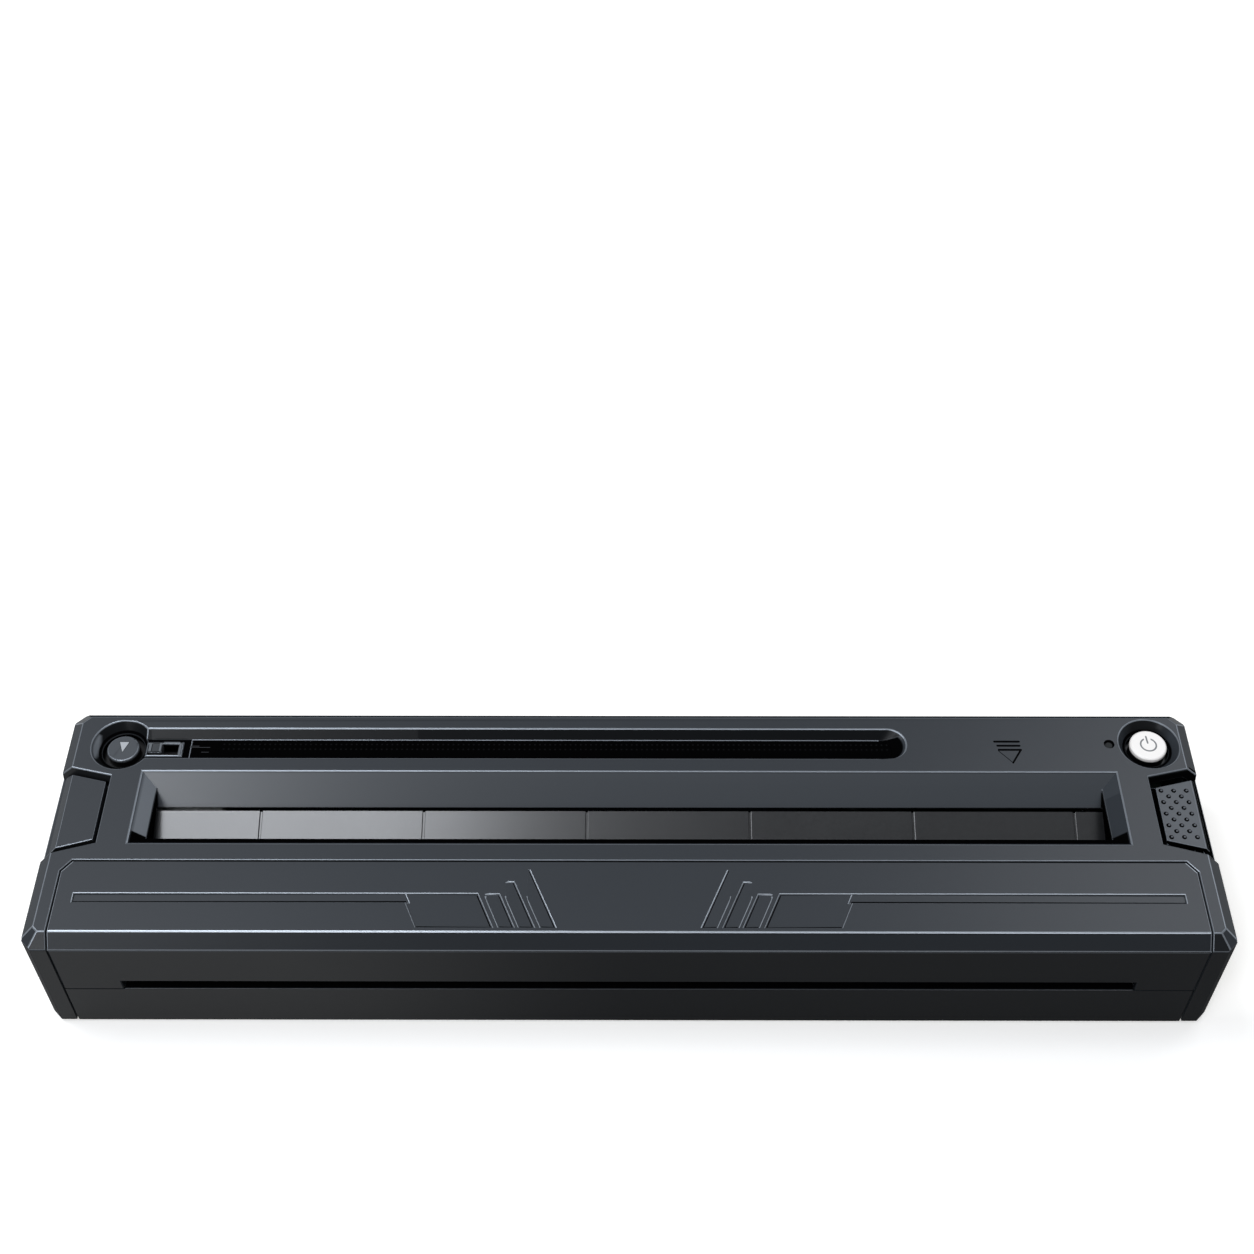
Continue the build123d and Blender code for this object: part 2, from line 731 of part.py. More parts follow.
with BuildPart() as catch_rivets:
    for y in rivet_y:
        with BuildSketch(Plane.XY.offset(catch_top_z - catch_foot)):
            with Locations((rivet_x, y)):
                Circle(rivet_r)
        extrude(amount=catch_foot + rivet_grip)
        with BuildSketch(Plane.XY.offset(catch_top_z - catch_foot)):
            with Locations((rivet_x, y)):
                Circle(1.8 * rivet_r)
        extrude(amount=-0.5, taper=20)
catch_rivets.part.label = "catch_rivets"
export_step(catch_rivets.part, "parts/catch_rivets.step")

with BuildPart() as hinge_pins:
    for side in (-1, 1):
        with BuildSketch(Plane.YZ.offset(side * (cover_half - 3.8))):
            with Locations((hinge_y, hinge_z)):
                Circle(hinge_pin_r)
        extrude(amount=side * 6.2)
hinge_pins.part.label = "hinge_pins"
export_step(hinge_pins.part, "parts/hinge_pins.step")

comb_half = 108.6
comb_pitch = 18.0
with BuildPart() as cover_guide:
    with Locations((0, -29.4, 22.65)):
        Box(2 * comb_half, 1.2, 8.7)
    for index in range(13):
        with BuildSketch(Plane.YZ.offset((index - 6) * comb_pitch - 0.6)):
            Polygon((-29.6, 18.3), (-24.6, 19.4), (-25.2, 24.0), (-29.6, 27.0), align=None)
        extrude(amount=1.2)
cover_guide.part.label = "cover_guide"
export_step(cover_guide.part, "parts/cover_guide.step")


# ================================================================ platen
def rod(radius, y, z, x_from, x_to, bore=0.0):
    """A round bar or tube along X."""
    with BuildPart() as bar:
        with BuildSketch(Plane.YZ.offset(x_from)):
            with Locations((y, z)):
                Circle(radius)
                if bore > 0:
                    Circle(bore, mode=Mode.SUBTRACT)
        extrude(amount=x_to - x_from)
    return bar.part


shaft_out = -120.0
with BuildPart() as platen_shaft:
    add(rod(shaft_r, platen_y, platen_z, shaft_out, bush_end + 0.2))
    chamfer(platen_shaft.edges().filter_by(GeomType.CIRCLE), 0.3)
platen_shaft.part.label = "platen_shaft"
export_step(platen_shaft.part, "parts/platen_shaft.step")

with BuildPart() as platen_rubber:
    add(rod(platen_r, platen_y, platen_z, -platen_half, platen_half, bore=shaft_r))
platen_rubber.part.label = "platen_rubber"
export_step(platen_rubber.part, "parts/platen_rubber.step")

with BuildPart() as platen_bushes:
    for side in (-1, 1):
        for radius, near, far in ((4.0, 109.0, 109.9), (bush_r, 109.9, bush_end)):
            with BuildSketch(Plane.YZ.offset(side * near)):
                with Locations((platen_y, platen_z)):
                    Circle(radius)
                    Circle(shaft_r + running_gap, mode=Mode.SUBTRACT)
            extrude(amount=side * (far - near))
platen_bushes.part.label = "platen_bushes"
export_step(platen_bushes.part, "parts/platen_bushes.step")


# ================================================================ gears
def involute(angle):
    return tan(angle) - angle


def tooth_outline(teeth):
    """Four pairs of points that bound one involute tooth, centred on the local X axis."""
    pitch_r = pitch_radius(teeth)
    base_r = pitch_r * cos(pressure_angle)
    root_r = pitch_r - 1.25 * tooth_module
    tip_r = pitch_r + tooth_module
    start_r = max(base_r, root_r)
    half_at_pitch = (pi * tooth_module / 2 - backlash) / 2 / pitch_r + involute(pressure_angle)

    def half_angle(radius):
        return half_at_pitch - (0 if radius <= base_r else involute(acos(base_r / radius)))

    radii = (root_r * 0.97, start_r, (start_r + tip_r) / 2, tip_r)
    right = [(radius * cos(half_angle(radius)), -radius * sin(half_angle(radius))) for radius in radii]
    left = [(x, -y) for x, y in reversed(right)]
    return right + left


def mesh_phase(phase, teeth, next_teeth, direction):
    """Angle of a tooth on the next gear that fits between the teeth of the gear before it."""
    fraction = (phase - direction) / (360 / teeth)
    return direction + 180 + (0.5 - fraction) * 360 / next_teeth


def spur_gear(teeth, phase, y, z, x_from, x_to):
    """A spur gear with its axis along X. phase is the angle of one tooth from +Y towards +Z."""
    root_r = pitch_radius(teeth) - 1.25 * tooth_module
    with BuildPart() as gear:
        with BuildSketch(Plane.YZ.offset(x_from)):
            with Locations((y, z)):
                Circle(root_r)
                with PolarLocations(0, teeth, start_angle=phase):
                    Polygon(*tooth_outline(teeth), align=None)
        extrude(amount=x_to - x_from)
    return gear.part


def direction_to(y1, z1, y2, z2):
    return degrees(atan2(z2 - z1, y2 - y1))


platen_to_idler = direction_to(platen_y, platen_z, idler_y, idler_z)
idler_to_reduction = direction_to(idler_y, idler_z, reduction_y, reduction_z)
reduction_to_motor = direction_to(reduction_y, reduction_z, motor_y, motor_z)
platen_phase = platen_to_idler
idler_phase = mesh_phase(platen_phase, platen_teeth, idler_teeth, platen_to_idler)
small_phase = mesh_phase(idler_phase, idler_teeth, reduction_small_teeth, idler_to_reduction)
large_phase = 0.0
motor_phase = mesh_phase(large_phase, reduction_large_teeth, motor_teeth, reduction_to_motor)

with BuildPart() as platen_gear:
    add(spur_gear(platen_teeth, platen_phase, platen_y, platen_z, plane_a_out - 0.2, plane_a_in + 0.2))
    add(rod(3.4, platen_y, platen_z, plane_a_in + 0.1, -bush_end - 0.2))
    with BuildSketch(Plane.YZ.offset(plane_a_out - 1)):
        with Locations((platen_y, platen_z)):
            Circle(shaft_r)
    extrude(amount=6, mode=Mode.SUBTRACT)
platen_gear.part.label = "platen_gear"
export_step(platen_gear.part, "parts/platen_gear.step")

gear_bore = axle_r + running_gap
hub_in = -frame_out - 0.2
with BuildPart() as idler_gear:
    add(spur_gear(idler_teeth, idler_phase, idler_y, idler_z, plane_a_out, plane_a_in))
    add(rod(3.0, idler_y, idler_z, plane_a_in - 0.1, hub_in))
    with BuildSketch(Plane.YZ.offset(plane_a_out - 1)):
        with Locations((idler_y, idler_z)):
            Circle(gear_bore)
    extrude(amount=6, mode=Mode.SUBTRACT)
    # Ring groove and holes that lighten the web.
    with BuildSketch(Plane.YZ.offset(plane_a_out)):
        with Locations((idler_y, idler_z)):
            Circle(7.2)
            Circle(3.4, mode=Mode.SUBTRACT)
    extrude(amount=0.8, mode=Mode.SUBTRACT)
idler_gear.part.label = "idler_gear"
export_step(idler_gear.part, "parts/idler_gear.step")

with BuildPart() as reduction_gear:
    add(spur_gear(reduction_large_teeth, large_phase, reduction_y, reduction_z, plane_b_out, plane_b_in + 0.1))
    add(spur_gear(reduction_small_teeth, small_phase, reduction_y, reduction_z, plane_b_in, plane_a_in))
    add(rod(2.6, reduction_y, reduction_z, plane_a_in - 0.1, hub_in))
    with BuildSketch(Plane.YZ.offset(plane_b_out - 1)):
        with Locations((reduction_y, reduction_z)):
            Circle(gear_bore)
    extrude(amount=9, mode=Mode.SUBTRACT)
    with BuildSketch(Plane.YZ.offset(plane_b_out)):
        with Locations((reduction_y, reduction_z)):
            Circle(8.2)
            Circle(3.6, mode=Mode.SUBTRACT)
    extrude(amount=0.8, mode=Mode.SUBTRACT)
reduction_gear.part.label = "reduction_gear"
export_step(reduction_gear.part, "parts/reduction_gear.step")

with BuildPart() as motor_pinion:
    add(spur_gear(motor_teeth, motor_phase, motor_y, motor_z, plane_b_out, plane_b_in))
    with BuildSketch(Plane.YZ.offset(plane_b_out - 1)):
        with Locations((motor_y, motor_z)):
            Circle(motor_shaft_r)
    extrude(amount=6, mode=Mode.SUBTRACT)
motor_pinion.part.label = "motor_pinion"
export_step(motor_pinion.part, "parts/motor_pinion.step")


def headed_axle(y, z, x_out):
    """A gear axle fixed in the left side frame, with a low head outside the gear."""
    with BuildPart() as axle:
        add(rod(axle_r, y, z, x_out, -frame_in))
        add(rod(axle_r + 0.8, y, z, x_out - 0.6, x_out))
    return axle.part


with BuildPart() as idler_axle:
    add(headed_axle(idler_y, idler_z, plane_a_out - 0.15))
idler_axle.part.label = "idler_axle"
export_step(idler_axle.part, "parts/idler_axle.step")

with BuildPart() as reduction_axle:
    add(headed_axle(reduction_y, reduction_z, plane_b_out - 0.15))
reduction_axle.part.label = "reduction_axle"
export_step(reduction_axle.part, "parts/reduction_axle.step")

# ================================================================ motor
with BuildPart() as motor_body:
    add(rod(motor_r, motor_y, motor_z, -frame_in, motor_inner_x))
    chamfer(motor_body.edges().filter_by(GeomType.CIRCLE), 0.6)
    add(rod(motor_boss_r, motor_y, motor_z, -frame_out - 0.3, -frame_in + 0.5))
    add(rod(2.2, motor_y, motor_z, motor_inner_x - 0.5, motor_inner_x + 1.4))
    with BuildSketch(Plane.YZ.offset(-frame_out - 1)):
        with Locations((motor_y, motor_z)):
            Circle(motor_shaft_r + running_gap)
    extrude(amount=10.5, mode=Mode.SUBTRACT)
motor_body.part.label = "motor_body"
export_step(motor_body.part, "parts/motor_body.step")

with BuildPart() as motor_shaft:
    add(rod(motor_shaft_r, motor_y, motor_z, plane_b_out - 0.3, -106.0))
motor_shaft.part.label = "motor_shaft"
export_step(motor_shaft.part, "parts/motor_shaft.step")


# ================================================================ side frames
def frame_outline():
    """The side frame in the YZ plane, with the platen's open cradle on its sloped front shoulder."""
    shoulder = 4.32
    radius_y = swing_y / swing
    radius_z = swing_z / swing
    return (
        (-24.2, floor_z),
        (28.8, floor_z),
        (28.8, 20.5),
        (27.0, 22.4),
        (9.6, 22.4),
        (8.4, guide_rest_z + (8.4 - guide_front_y) * tan(guide_angle)),
        (guide_front_y, guide_rest_z),
        (-10.4, 20.1),
        (-12.6, 27.0),
        (platen_y - shoulder * radius_y * 1.2, platen_z - shoulder * radius_z * 1.2),
        (platen_y + shoulder * radius_y * 1.2, platen_z + shoulder * radius_z * 1.2),
        (-24.2, 18.5),
    )


def side_frame_plate(side):
    """One steel side frame with its two feet, standing on the floor of the base."""
    with BuildPart() as plate:
        with BuildSketch(Plane.YZ.offset(side * frame_in)):
            Polygon(*frame_outline(), align=None)
            with Locations((platen_y, platen_z)):
                Circle(bush_r + 0.1, mode=Mode.SUBTRACT)
            with Locations((head_pivot_y, head_pivot_z)):
                Circle(head_pin_r, mode=Mode.SUBTRACT)
            if side < 0:
                with Locations((idler_y, idler_z), (reduction_y, reduction_z)):
                    Circle(axle_r, mode=Mode.SUBTRACT)
                with Locations((motor_y, motor_z)):
                    Circle(motor_boss_r + 0.05, mode=Mode.SUBTRACT)
            else:
                with Locations((10.0, 12.0), (-12.0, 11.0)):
                    Circle(4.0, mode=Mode.SUBTRACT)
        extrude(amount=side * frame_thick)
        for near_y, far_y in ((-24.2, -19.5), (25.6, 28.8)):
            with Locations((side * (frame_in - 3.0), (near_y + far_y) / 2, floor_z + 0.75)):
                Box(6.2, far_y - near_y, 1.5)
    return plate.part


with BuildPart() as side_frame_left:
    add(side_frame_plate(-1))
side_frame_left.part.label = "side_frame_left"
export_step(side_frame_left.part, "parts/side_frame_left.step")

with BuildPart() as side_frame_right:
    add(side_frame_plate(1))
side_frame_right.part.label = "side_frame_right"
export_step(side_frame_right.part, "parts/side_frame_right.step")

# ================================================================ sheet guides
groove_wide = 0.5
groove_deep = 0.4
guide_groove_x = (-85.4, -47.6, -9.8, 28.0, 65.8, 103.2)
with BuildPart() as paper_guide:
    with BuildSketch(Plane.YZ.offset(-guide_half)):
        Polygon(
            (guide_rear_y, guide_rear_z),
            (guide_front_y, guide_front_z),
            (guide_front_y, guide_front_z - guide_drop),
            (guide_rear_y, guide_rear_z - guide_drop),
            align=None,
        )
    extrude(amount=2 * guide_half)
    guide_plane = Plane(
        origin=(0, guide_front_y, guide_front_z),
        x_dir=(1, 0, 0),
        z_dir=(0, -sin(guide_angle), cos(guide_angle)),
    )
    with BuildSketch(guide_plane.offset(-groove_deep)):
        for x in guide_groove_x:
            with Locations((x, 9)):
                Rectangle(groove_wide, 20)
    extrude(amount=1, mode=Mode.SUBTRACT)
paper_guide.part.label = "paper_guide"
export_step(paper_guide.part, "parts/paper_guide.step")

with BuildPart() as throat_guide:
    with BuildSketch(Plane.YZ.offset(-feed_half + 0.4)):
        Polygon(
            (-3.0, 30.7),
            (-9.7, 24.3),
            (-10.4, 24.9),
            (-7.0, 28.03),
            (-7.0, 31.1),
            (-9.8, 31.1),
            (-9.8, 32.1),
            (-5.7, 32.1),
            (-5.7, 29.23),
            (-4.1, 30.7),
            align=None,
        )
    extrude(amount=2 * feed_half - 0.8)
throat_guide.part.label = "throat_guide"
export_step(throat_guide.part, "parts/throat_guide.step")


# ================================================================ print head
def head_point(along, above):
    """A point given along the sheet's path from the nip, and above the sheet."""
    return (
        nip_y + along * path_cos - above * path_sin,
        nip_z + along * path_sin + above * path_cos,
    )


with BuildPart() as print_head:
    with BuildSketch(Plane.YZ.offset(-head_half)):
        Polygon(
            head_point(-3.0, -1.0),
            head_point(7.0, -1.0),
            head_point(7.0, -sheet_gap),
            head_point(-3.0, -sheet_gap),
            align=None,
        )
    extrude(amount=2 * head_half)
print_head.part.label = "print_head"
export_step(print_head.part, "parts/print_head.step")

sink_rear = 7.2
with BuildPart() as head_sink:
    with BuildSketch(Plane.YZ.offset(-sink_half)):
        Polygon(
            head_point(-4.0, -3.2),
            head_point(sink_rear, -3.2),
            head_point(sink_rear, -1.0),
            head_point(-4.0, -1.0),
            align=None,
        )
    extrude(amount=2 * sink_half)
    # Fins below the plate, and the flat feet that the springs push on.
    for x in range(-100, 101, 10):
        with BuildSketch(Plane.YZ.offset(x - 0.6)):
            Polygon(
                head_point(-2.0, -3.0),
                head_point(6.6, -3.0),
                (-10.8, sink_bottom_z + 0.8),
                (-18.2, sink_bottom_z + 0.8),
                align=None,
            )
        extrude(amount=1.2)
    for x in spring_places:
        with BuildSketch(Plane.YZ.offset(x - 3.5)):
            Polygon(
                head_point(0.4, -3.0),
                head_point(4.6, -3.0),
                (-12.4, sink_bottom_z),
                (-16.8, sink_bottom_z),
                align=None,
            )
        extrude(amount=7.0)
    # Arms to the pivot pins.
    for side in (-1, 1):
        with BuildSketch(Plane.YZ.offset(side * (sink_half - 0.1))):
            Polygon(
                head_point(-1.0, -3.2),
                head_point(sink_rear, -3.2),
                (head_pivot_y, head_pivot_z - 2.6),
                (head_pivot_y - 0.6, head_pivot_z + 2.5),
                (-8.6, 19.9),
                head_point(6.4, -1.0),
                head_point(-1.0, -1.0),
                align=None,
            )
            with Locations((head_pivot_y, head_pivot_z)):
                Circle(2.6)
                Circle(head_pin_r + running_gap, mode=Mode.SUBTRACT)
        extrude(amount=side * 1.8)
head_sink.part.label = "head_sink"
export_step(head_sink.part, "parts/head_sink.step")

with BuildPart() as head_pivot_pins:
    for side in (-1, 1):
        with BuildSketch(Plane.YZ.offset(side * 110.9)):
            with Locations((head_pivot_y, head_pivot_z)):
                Circle(head_pin_r)
        extrude(amount=side * (frame_out - 0.1 - 110.9))
head_pivot_pins.part.label = "head_pivot_pins"
export_step(head_pivot_pins.part, "parts/head_pivot_pins.step")

def coil_spring(radius, wire, length, turns):
    """A round-wire coil that stands on the XY plane at the origin."""
    height = length - 2 * wire - 0.04
    with BuildPart() as coil:
        with BuildLine() as path:
            Helix(pitch=height / turns, height=height, radius=radius - wire, center=(0, 0, wire + 0.02))
        with BuildSketch(Plane(origin=path.line @ 0, z_dir=path.line % 0)):
            RegularPolygon(wire, 4)
        sweep(is_frenet=True)
    return coil.part


head_spring = coil_spring(spring_r, spring_wire_r, sink_bottom_z - floor_z, 5)
with BuildPart() as head_springs:
    for x in spring_places:
        with Locations((x, head_spring_y, floor_z)):
            add(head_spring)
head_springs.part.label = "head_springs"
export_step(head_springs.part, "parts/head_springs.step")

# Flat cable from the back of the head, forward under it and back along the floor to the main board.
cable_thick = 0.3
with BuildPart() as head_ribbon:
    with BuildLine(Plane.YZ.offset(80.0)) as cable_path:
        FilletPolyline((-10.45, 14.6), (-4.0, 14.6), (-1.0, 8.4), (board_y[0] - 0.1, 8.4), radius=1.2)
    with BuildSketch(Plane(origin=cable_path.line @ 0, x_dir=(1, 0, 0), z_dir=cable_path.line % 0)):
        Rectangle(36, cable_thick)
    sweep()
head_ribbon.part.label = "head_ribbon"
export_step(head_ribbon.part, "parts/head_ribbon.step")

# ================================================================ latch
pad_plate_z = 30.7
grip_first = (122.8, 10.25)  # back left grip pit
grip_pitch_x = 2.92
grip_pitch_y = 1.61
grip_rows = 9
grip_r = 0.6
grip_peg_r = 0.26
grip_peg_shift = 0.13       # the peg stands off centre, so the groove round it is widest at the front left
grip_depth = 0.45
grip_places = [
    (
        grip_first[0] + (column + (row % 2) / 2) * grip_pitch_x,
        grip_first[1] - row * grip_pitch_y,
    )
    for row in range(grip_rows)
    for column in range(3 - row % 2)
]
with BuildPart() as latch_pad:
    with BuildSketch(Plane.XY.offset(pad_plate_z)):
        Polygon((121.7, 11.1), (131.2, 13.5), (131.0, -6.0), (121.6, -3.5), align=None)
    extrude(amount=pad_top_z - pad_plate_z)
    outer_edge = latch_pad.faces().sort_by(Axis.Z)[-1].edges().sort_by(Axis.X)[-1]
    chamfer(outer_edge, length=0.9)
    with BuildSketch(Plane.XY.offset(pad_top_z - grip_depth)):
        with Locations(*grip_places):
            RegularPolygon(grip_r, 8)
        with Locations(*((x + grip_peg_shift, y + grip_peg_shift) for x, y in grip_places)):
            RegularPolygon(grip_peg_r, 6, mode=Mode.SUBTRACT)
    extrude(amount=grip_depth, mode=Mode.SUBTRACT)
    # Neck through the recess, and the slide below it.
    with BuildSketch(Plane.XY.offset(slide_top_z - 0.1)):
        Polygon((122.0, 10.6), (129.2, 10.6), (129.2, -2.6), (122.0, -2.6), align=None)
    extrude(amount=0.3)
    with BuildSketch(Plane.XY.offset(slide_bottom_z)):
        Polygon(
            (slide_in_x, -6.0),
            (slide_in_x, 12.0),
            (inner_end_x - 0.2, 12.0),
            (inner_end_x - 0.2, -3.6),
            (122.0, -3.6),
            (122.0, -6.0),
            align=None,
        )
    extrude(amount=slide_top_z - slide_bottom_z)
    # Post for the return spring.
    with Locations((inner_end_x - 3.8, 10.6, slide_bottom_z - 1.9)):
        Box(3.8, 1.6, 4.0)
latch_pad.part.label = "latch_pad"
export_step(latch_pad.part, "parts/latch_pad.step")

hook_bottom_z = 21.6
hook_bar_z = 23.6
hook_front_y = -16.8
hook_arm_y = -15.5
hook_tip_y = -14.38
hook_rear_y = -3.6
hook_stem = 2.2
with BuildPart() as latch_hook:
    with BuildSketch(Plane.YZ.offset(hook_x - 1.4)):
        Polygon(
            (hook_rear_y - hook_stem, slide_bottom_z),
            (hook_rear_y - hook_stem, hook_bar_z),
            (hook_arm_y, hook_bar_z),
            (hook_arm_y, catch_ledge_z - 0.2),
            (hook_tip_y, catch_ledge_z + 0.25),
            (-15.3, catch_ledge_z + 1.2),
            (hook_front_y, catch_ledge_z + 1.2),
            (hook_front_y, hook_bottom_z),
            (hook_rear_y, hook_bottom_z),
            (hook_rear_y, slide_bottom_z),
            align=None,
        )
    extrude(amount=2.8)
latch_hook.part.label = "latch_hook"
export_step(latch_hook.part, "parts/latch_hook.step")


latch_spring_y = latch_stop_y + 0.8
latch_coil = coil_spring(1.5, 0.25, 9.8 - latch_spring_y, 7)
spring_seat = Plane(origin=(inner_end_x - 3.8, latch_spring_y, slide_bottom_z - 2.6), z_dir=(0, 1, 0))
with BuildPart() as latch_spring:
    with Locations(spring_seat):
        add(latch_coil)
latch_spring.part.label = "latch_spring"
export_step(latch_spring.part, "parts/latch_spring.step")

# ================================================================ left inlay
inlay_top_z = top_z - 0.8
with BuildPart() as left_inlay:
    with BuildSketch(Plane.XY.offset(pad_plate_z)):
        Polygon((-120.9, 11.4), (-130.9, 13.8), (-130.7, -7.6), (-120.9, -4.7), align=None)
    extrude(amount=inlay_top_z - pad_plate_z)
    outer_edge = left_inlay.faces().sort_by(Axis.Z)[-1].edges().sort_by(Axis.X)[0]
    chamfer(outer_edge, length=1.9)
    with BuildSketch(Plane.XY.offset(slide_top_z - 0.1)):
        Polygon((-122.0, 10.4), (-129.2, 10.4), (-129.2, -2.6), (-122.0, -2.6), align=None)
    extrude(amount=pad_plate_z - slide_top_z + 0.2)
    # Flange that lies under the skin.
    with BuildSketch(Plane.XY.offset(slide_bottom_z)):
        Polygon(
            (-slide_in_x, -4.0),
            (-slide_in_x, 12.0),
            (0.2 - inner_end_x, 12.0),
            (0.2 - inner_end_x, -4.0),
            align=None,
        )
    extrude(amount=slide_top_z - slide_bottom_z)
    with Locations(((-slide_in_x - 119.2) / 2, 4.0, (slide_bottom_z + under_skin_z) / 2)):
        Box(119.2 - slide_in_x, 14.0, under_skin_z - slide_bottom_z - 0.02)
left_inlay.part.label = "left_inlay"
export_step(left_inlay.part, "parts/left_inlay.step")

# ================================================================ buttons and key boards
key_travel = 0.7
flange_low_z = 29.3
flange_thick = 0.8
switch_top_z = 28.2
tact_body = 6.0
tact_height = 1.5


def key_cap(x, y, radius, cap_top_z, rim):
    """A round cap with a flange below the skin and a stem above its switch."""
    with BuildPart() as cap:
        with BuildSketch(Plane.XY.offset(flange_low_z)):
            with Locations((x, y)):
                Circle(button_flange_r)
        extrude(amount=flange_thick)
        with BuildSketch(Plane.XY.offset(flange_low_z)):
            with Locations((x, y)):
                Circle(radius)
        extrude(amount=cap_top_z - flange_low_z)
        chamfer(cap.faces().sort_by(Axis.Z)[-1].edges(), rim)
        with BuildSketch(Plane.XY.offset(switch_top_z + key_travel + 0.05)):
            with Locations((x, y)):
                Circle(1.2)
        extrude(amount=flange_low_z - switch_top_z - key_travel)
    return cap.part


with BuildPart() as power_button:
    add(key_cap(power_button_x, power_button_y, button_r - 0.3, top_z - 0.4, 0.35))
power_button.part.label = "power_button"
export_step(power_button.part, "parts/power_button.step")

with BuildPart() as feed_button:
    add(key_cap(feed_button_x, feed_button_y, button_r - 0.8, top_z - 1.5, 0.3))
feed_button.part.label = "feed_button"
export_step(feed_button.part, "parts/feed_button.step")

key_board_low_y = 14.2
key_board_high_y = inner_back_y - 1.6
with BuildPart() as key_board_left:
    with BuildSketch(Plane.XY.offset(key_board_z)):
        Polygon(
            (-126.6, key_board_low_y),
            (-99.5, key_board_low_y),
            (-99.5, key_board_high_y),
            (-126.6, key_board_high_y),
            align=None,
        )
    extrude(amount=key_board_thick)
key_board_left.part.label = "key_board_left"
export_step(key_board_left.part, "parts/key_board_left.step")

with BuildPart() as key_board_right:
    with BuildSketch(Plane.XY.offset(key_board_z)):
        Polygon(
            (108.5, key_board_low_y + 0.8),
            (128.0, key_board_low_y + 0.8),
            (128.0, key_board_high_y),
            (108.5, key_board_high_y),
            align=None,
        )
    extrude(amount=key_board_thick)
key_board_right.part.label = "key_board_right"
export_step(key_board_right.part, "parts/key_board_right.step")

key_top_z = key_board_z + key_board_thick
with BuildPart() as tact_switches:
    for x, y in ((feed_button_x, feed_button_y), (power_button_x, power_button_y)):
        with Locations((x, y, key_top_z + tact_height / 2)):
            Box(tact_body, tact_body, tact_height)
        with Locations((x, y, (key_top_z + switch_top_z) / 2 + 0.1)):
            Cylinder(1.7, switch_top_z - key_top_z - 0.2)
tact_switches.part.label = "tact_switches"
export_step(tact_switches.part, "parts/tact_switches.step")

with BuildPart() as led_lens:
    with BuildSketch(Plane.XY.offset(key_top_z + 0.8)):
        with Locations((led_x, led_y)):
            Circle(0.8)
    extrude(amount=top_z - 0.5 - key_top_z - 0.8)
    with BuildSketch(Plane.XY.offset(flange_low_z + 0.2)):
        with Locations((led_x, led_y)):
            Circle(1.6)
    extrude(amount=flange_thick)
led_lens.part.label = "led_lens"
export_step(led_lens.part, "parts/led_lens.step")

# ================================================================ slide switch
switch_y = 21.1
bezel_x = (-113.4, -104.7)
bezel_top_z = top_z - 1.2
bezel_low_z = top_z - channel_depth - strip_thick
window_x = (-112.9, -105.8)
knob_x = (-112.7, -109.5)
with BuildPart() as switch_bezel:
    with BuildSketch(Plane.XY.offset(top_z - channel_depth)):
        with Locations(((bezel_x[0] + bezel_x[1]) / 2, switch_y)):
            Rectangle(bezel_x[1] - bezel_x[0], 4.4)
        with Locations(((window_x[0] + window_x[1]) / 2, switch_y)):
            Rectangle(window_x[1] - window_x[0], 2.9, mode=Mode.SUBTRACT)
    extrude(amount=bezel_top_z - top_z + channel_depth)
    chamfer(switch_bezel.faces().sort_by(Axis.Z)[-1].outer_wire().edges(), 0.25)
switch_bezel.part.label = "switch_bezel"
export_step(switch_bezel.part, "parts/switch_bezel.step")

knob_top_z = top_z - 0.7
with BuildPart() as switch_knob:
    with Locations(((knob_x[0] + knob_x[1]) / 2, switch_y, (knob_top_z + bezel_low_z) / 2)):
        Box(knob_x[1] - knob_x[0], 2.5, knob_top_z - bezel_low_z)
    chamfer(switch_knob.faces().sort_by(Axis.Z)[-1].edges(), 0.25)
    for offset_x in (-0.8, 0, 0.8):
        with Locations(((knob_x[0] + knob_x[1]) / 2 + offset_x, switch_y, knob_top_z)):
            Box(0.35, 3, 0.6, mode=Mode.SUBTRACT)
    with Locations(((knob_x[0] + knob_x[1]) / 2, switch_y, 30.3)):
        Box(1.2, 1.3, 3.4)
switch_knob.part.label = "switch_knob"
export_step(switch_knob.part, "parts/switch_knob.step")

with BuildPart() as slide_switch_body:
    with Locations((-108.95, switch_y, (key_top_z + 29.6) / 2)):
        Box(7.8, 3.6, 29.6 - key_top_z)
    with Locations((-109.35, switch_y, 29.3)):
        Box(5.4, 1.5, 2.4, mode=Mode.SUBTRACT)
slide_switch_body.part.label = "slide_switch_body"
export_step(slide_switch_body.part, "parts/slide_switch_body.step")

# ================================================================ dotted strip in the channel
with BuildPart() as vent_strip:
    strip_low_x = -102.8
    strip_high_x = channel_end_x - 3.0 - floor_r
    with BuildSketch(Plane.XY.offset(top_z - channel_depth - strip_thick)):
        with Locations(((strip_low_x + strip_high_x) / 2, channel_front_y + floor_r)):
            Rectangle(strip_high_x - strip_low_x, 2 * floor_r - 0.6)
        with Locations((strip_high_x, channel_front_y + floor_r)):
            Circle(floor_r - 0.3)
    extrude(amount=strip_thick - 0.02)
vent_strip.part.label = "vent_strip"
export_step(vent_strip.part, "parts/vent_strip.step")

# ================================================================ cells, board and socket
with BuildPart() as battery_cells:
    for index in range(2):
        low_x = cell_first_x + index * (cell_length + 0.4)
        add(rod(cell_r, cell_y, cell_z, low_x, low_x + cell_length))
        with BuildSketch(Plane.YZ.offset(low_x + cell_length - 0.6)):
            with Locations((cell_y, cell_z)):
                Circle(cell_r + 1)
                Circle(cell_r - 0.5, mode=Mode.SUBTRACT)
        extrude(amount=0.3, mode=Mode.SUBTRACT)
battery_cells.part.label = "battery_cells"
export_step(battery_cells.part, "parts/battery_cells.step")

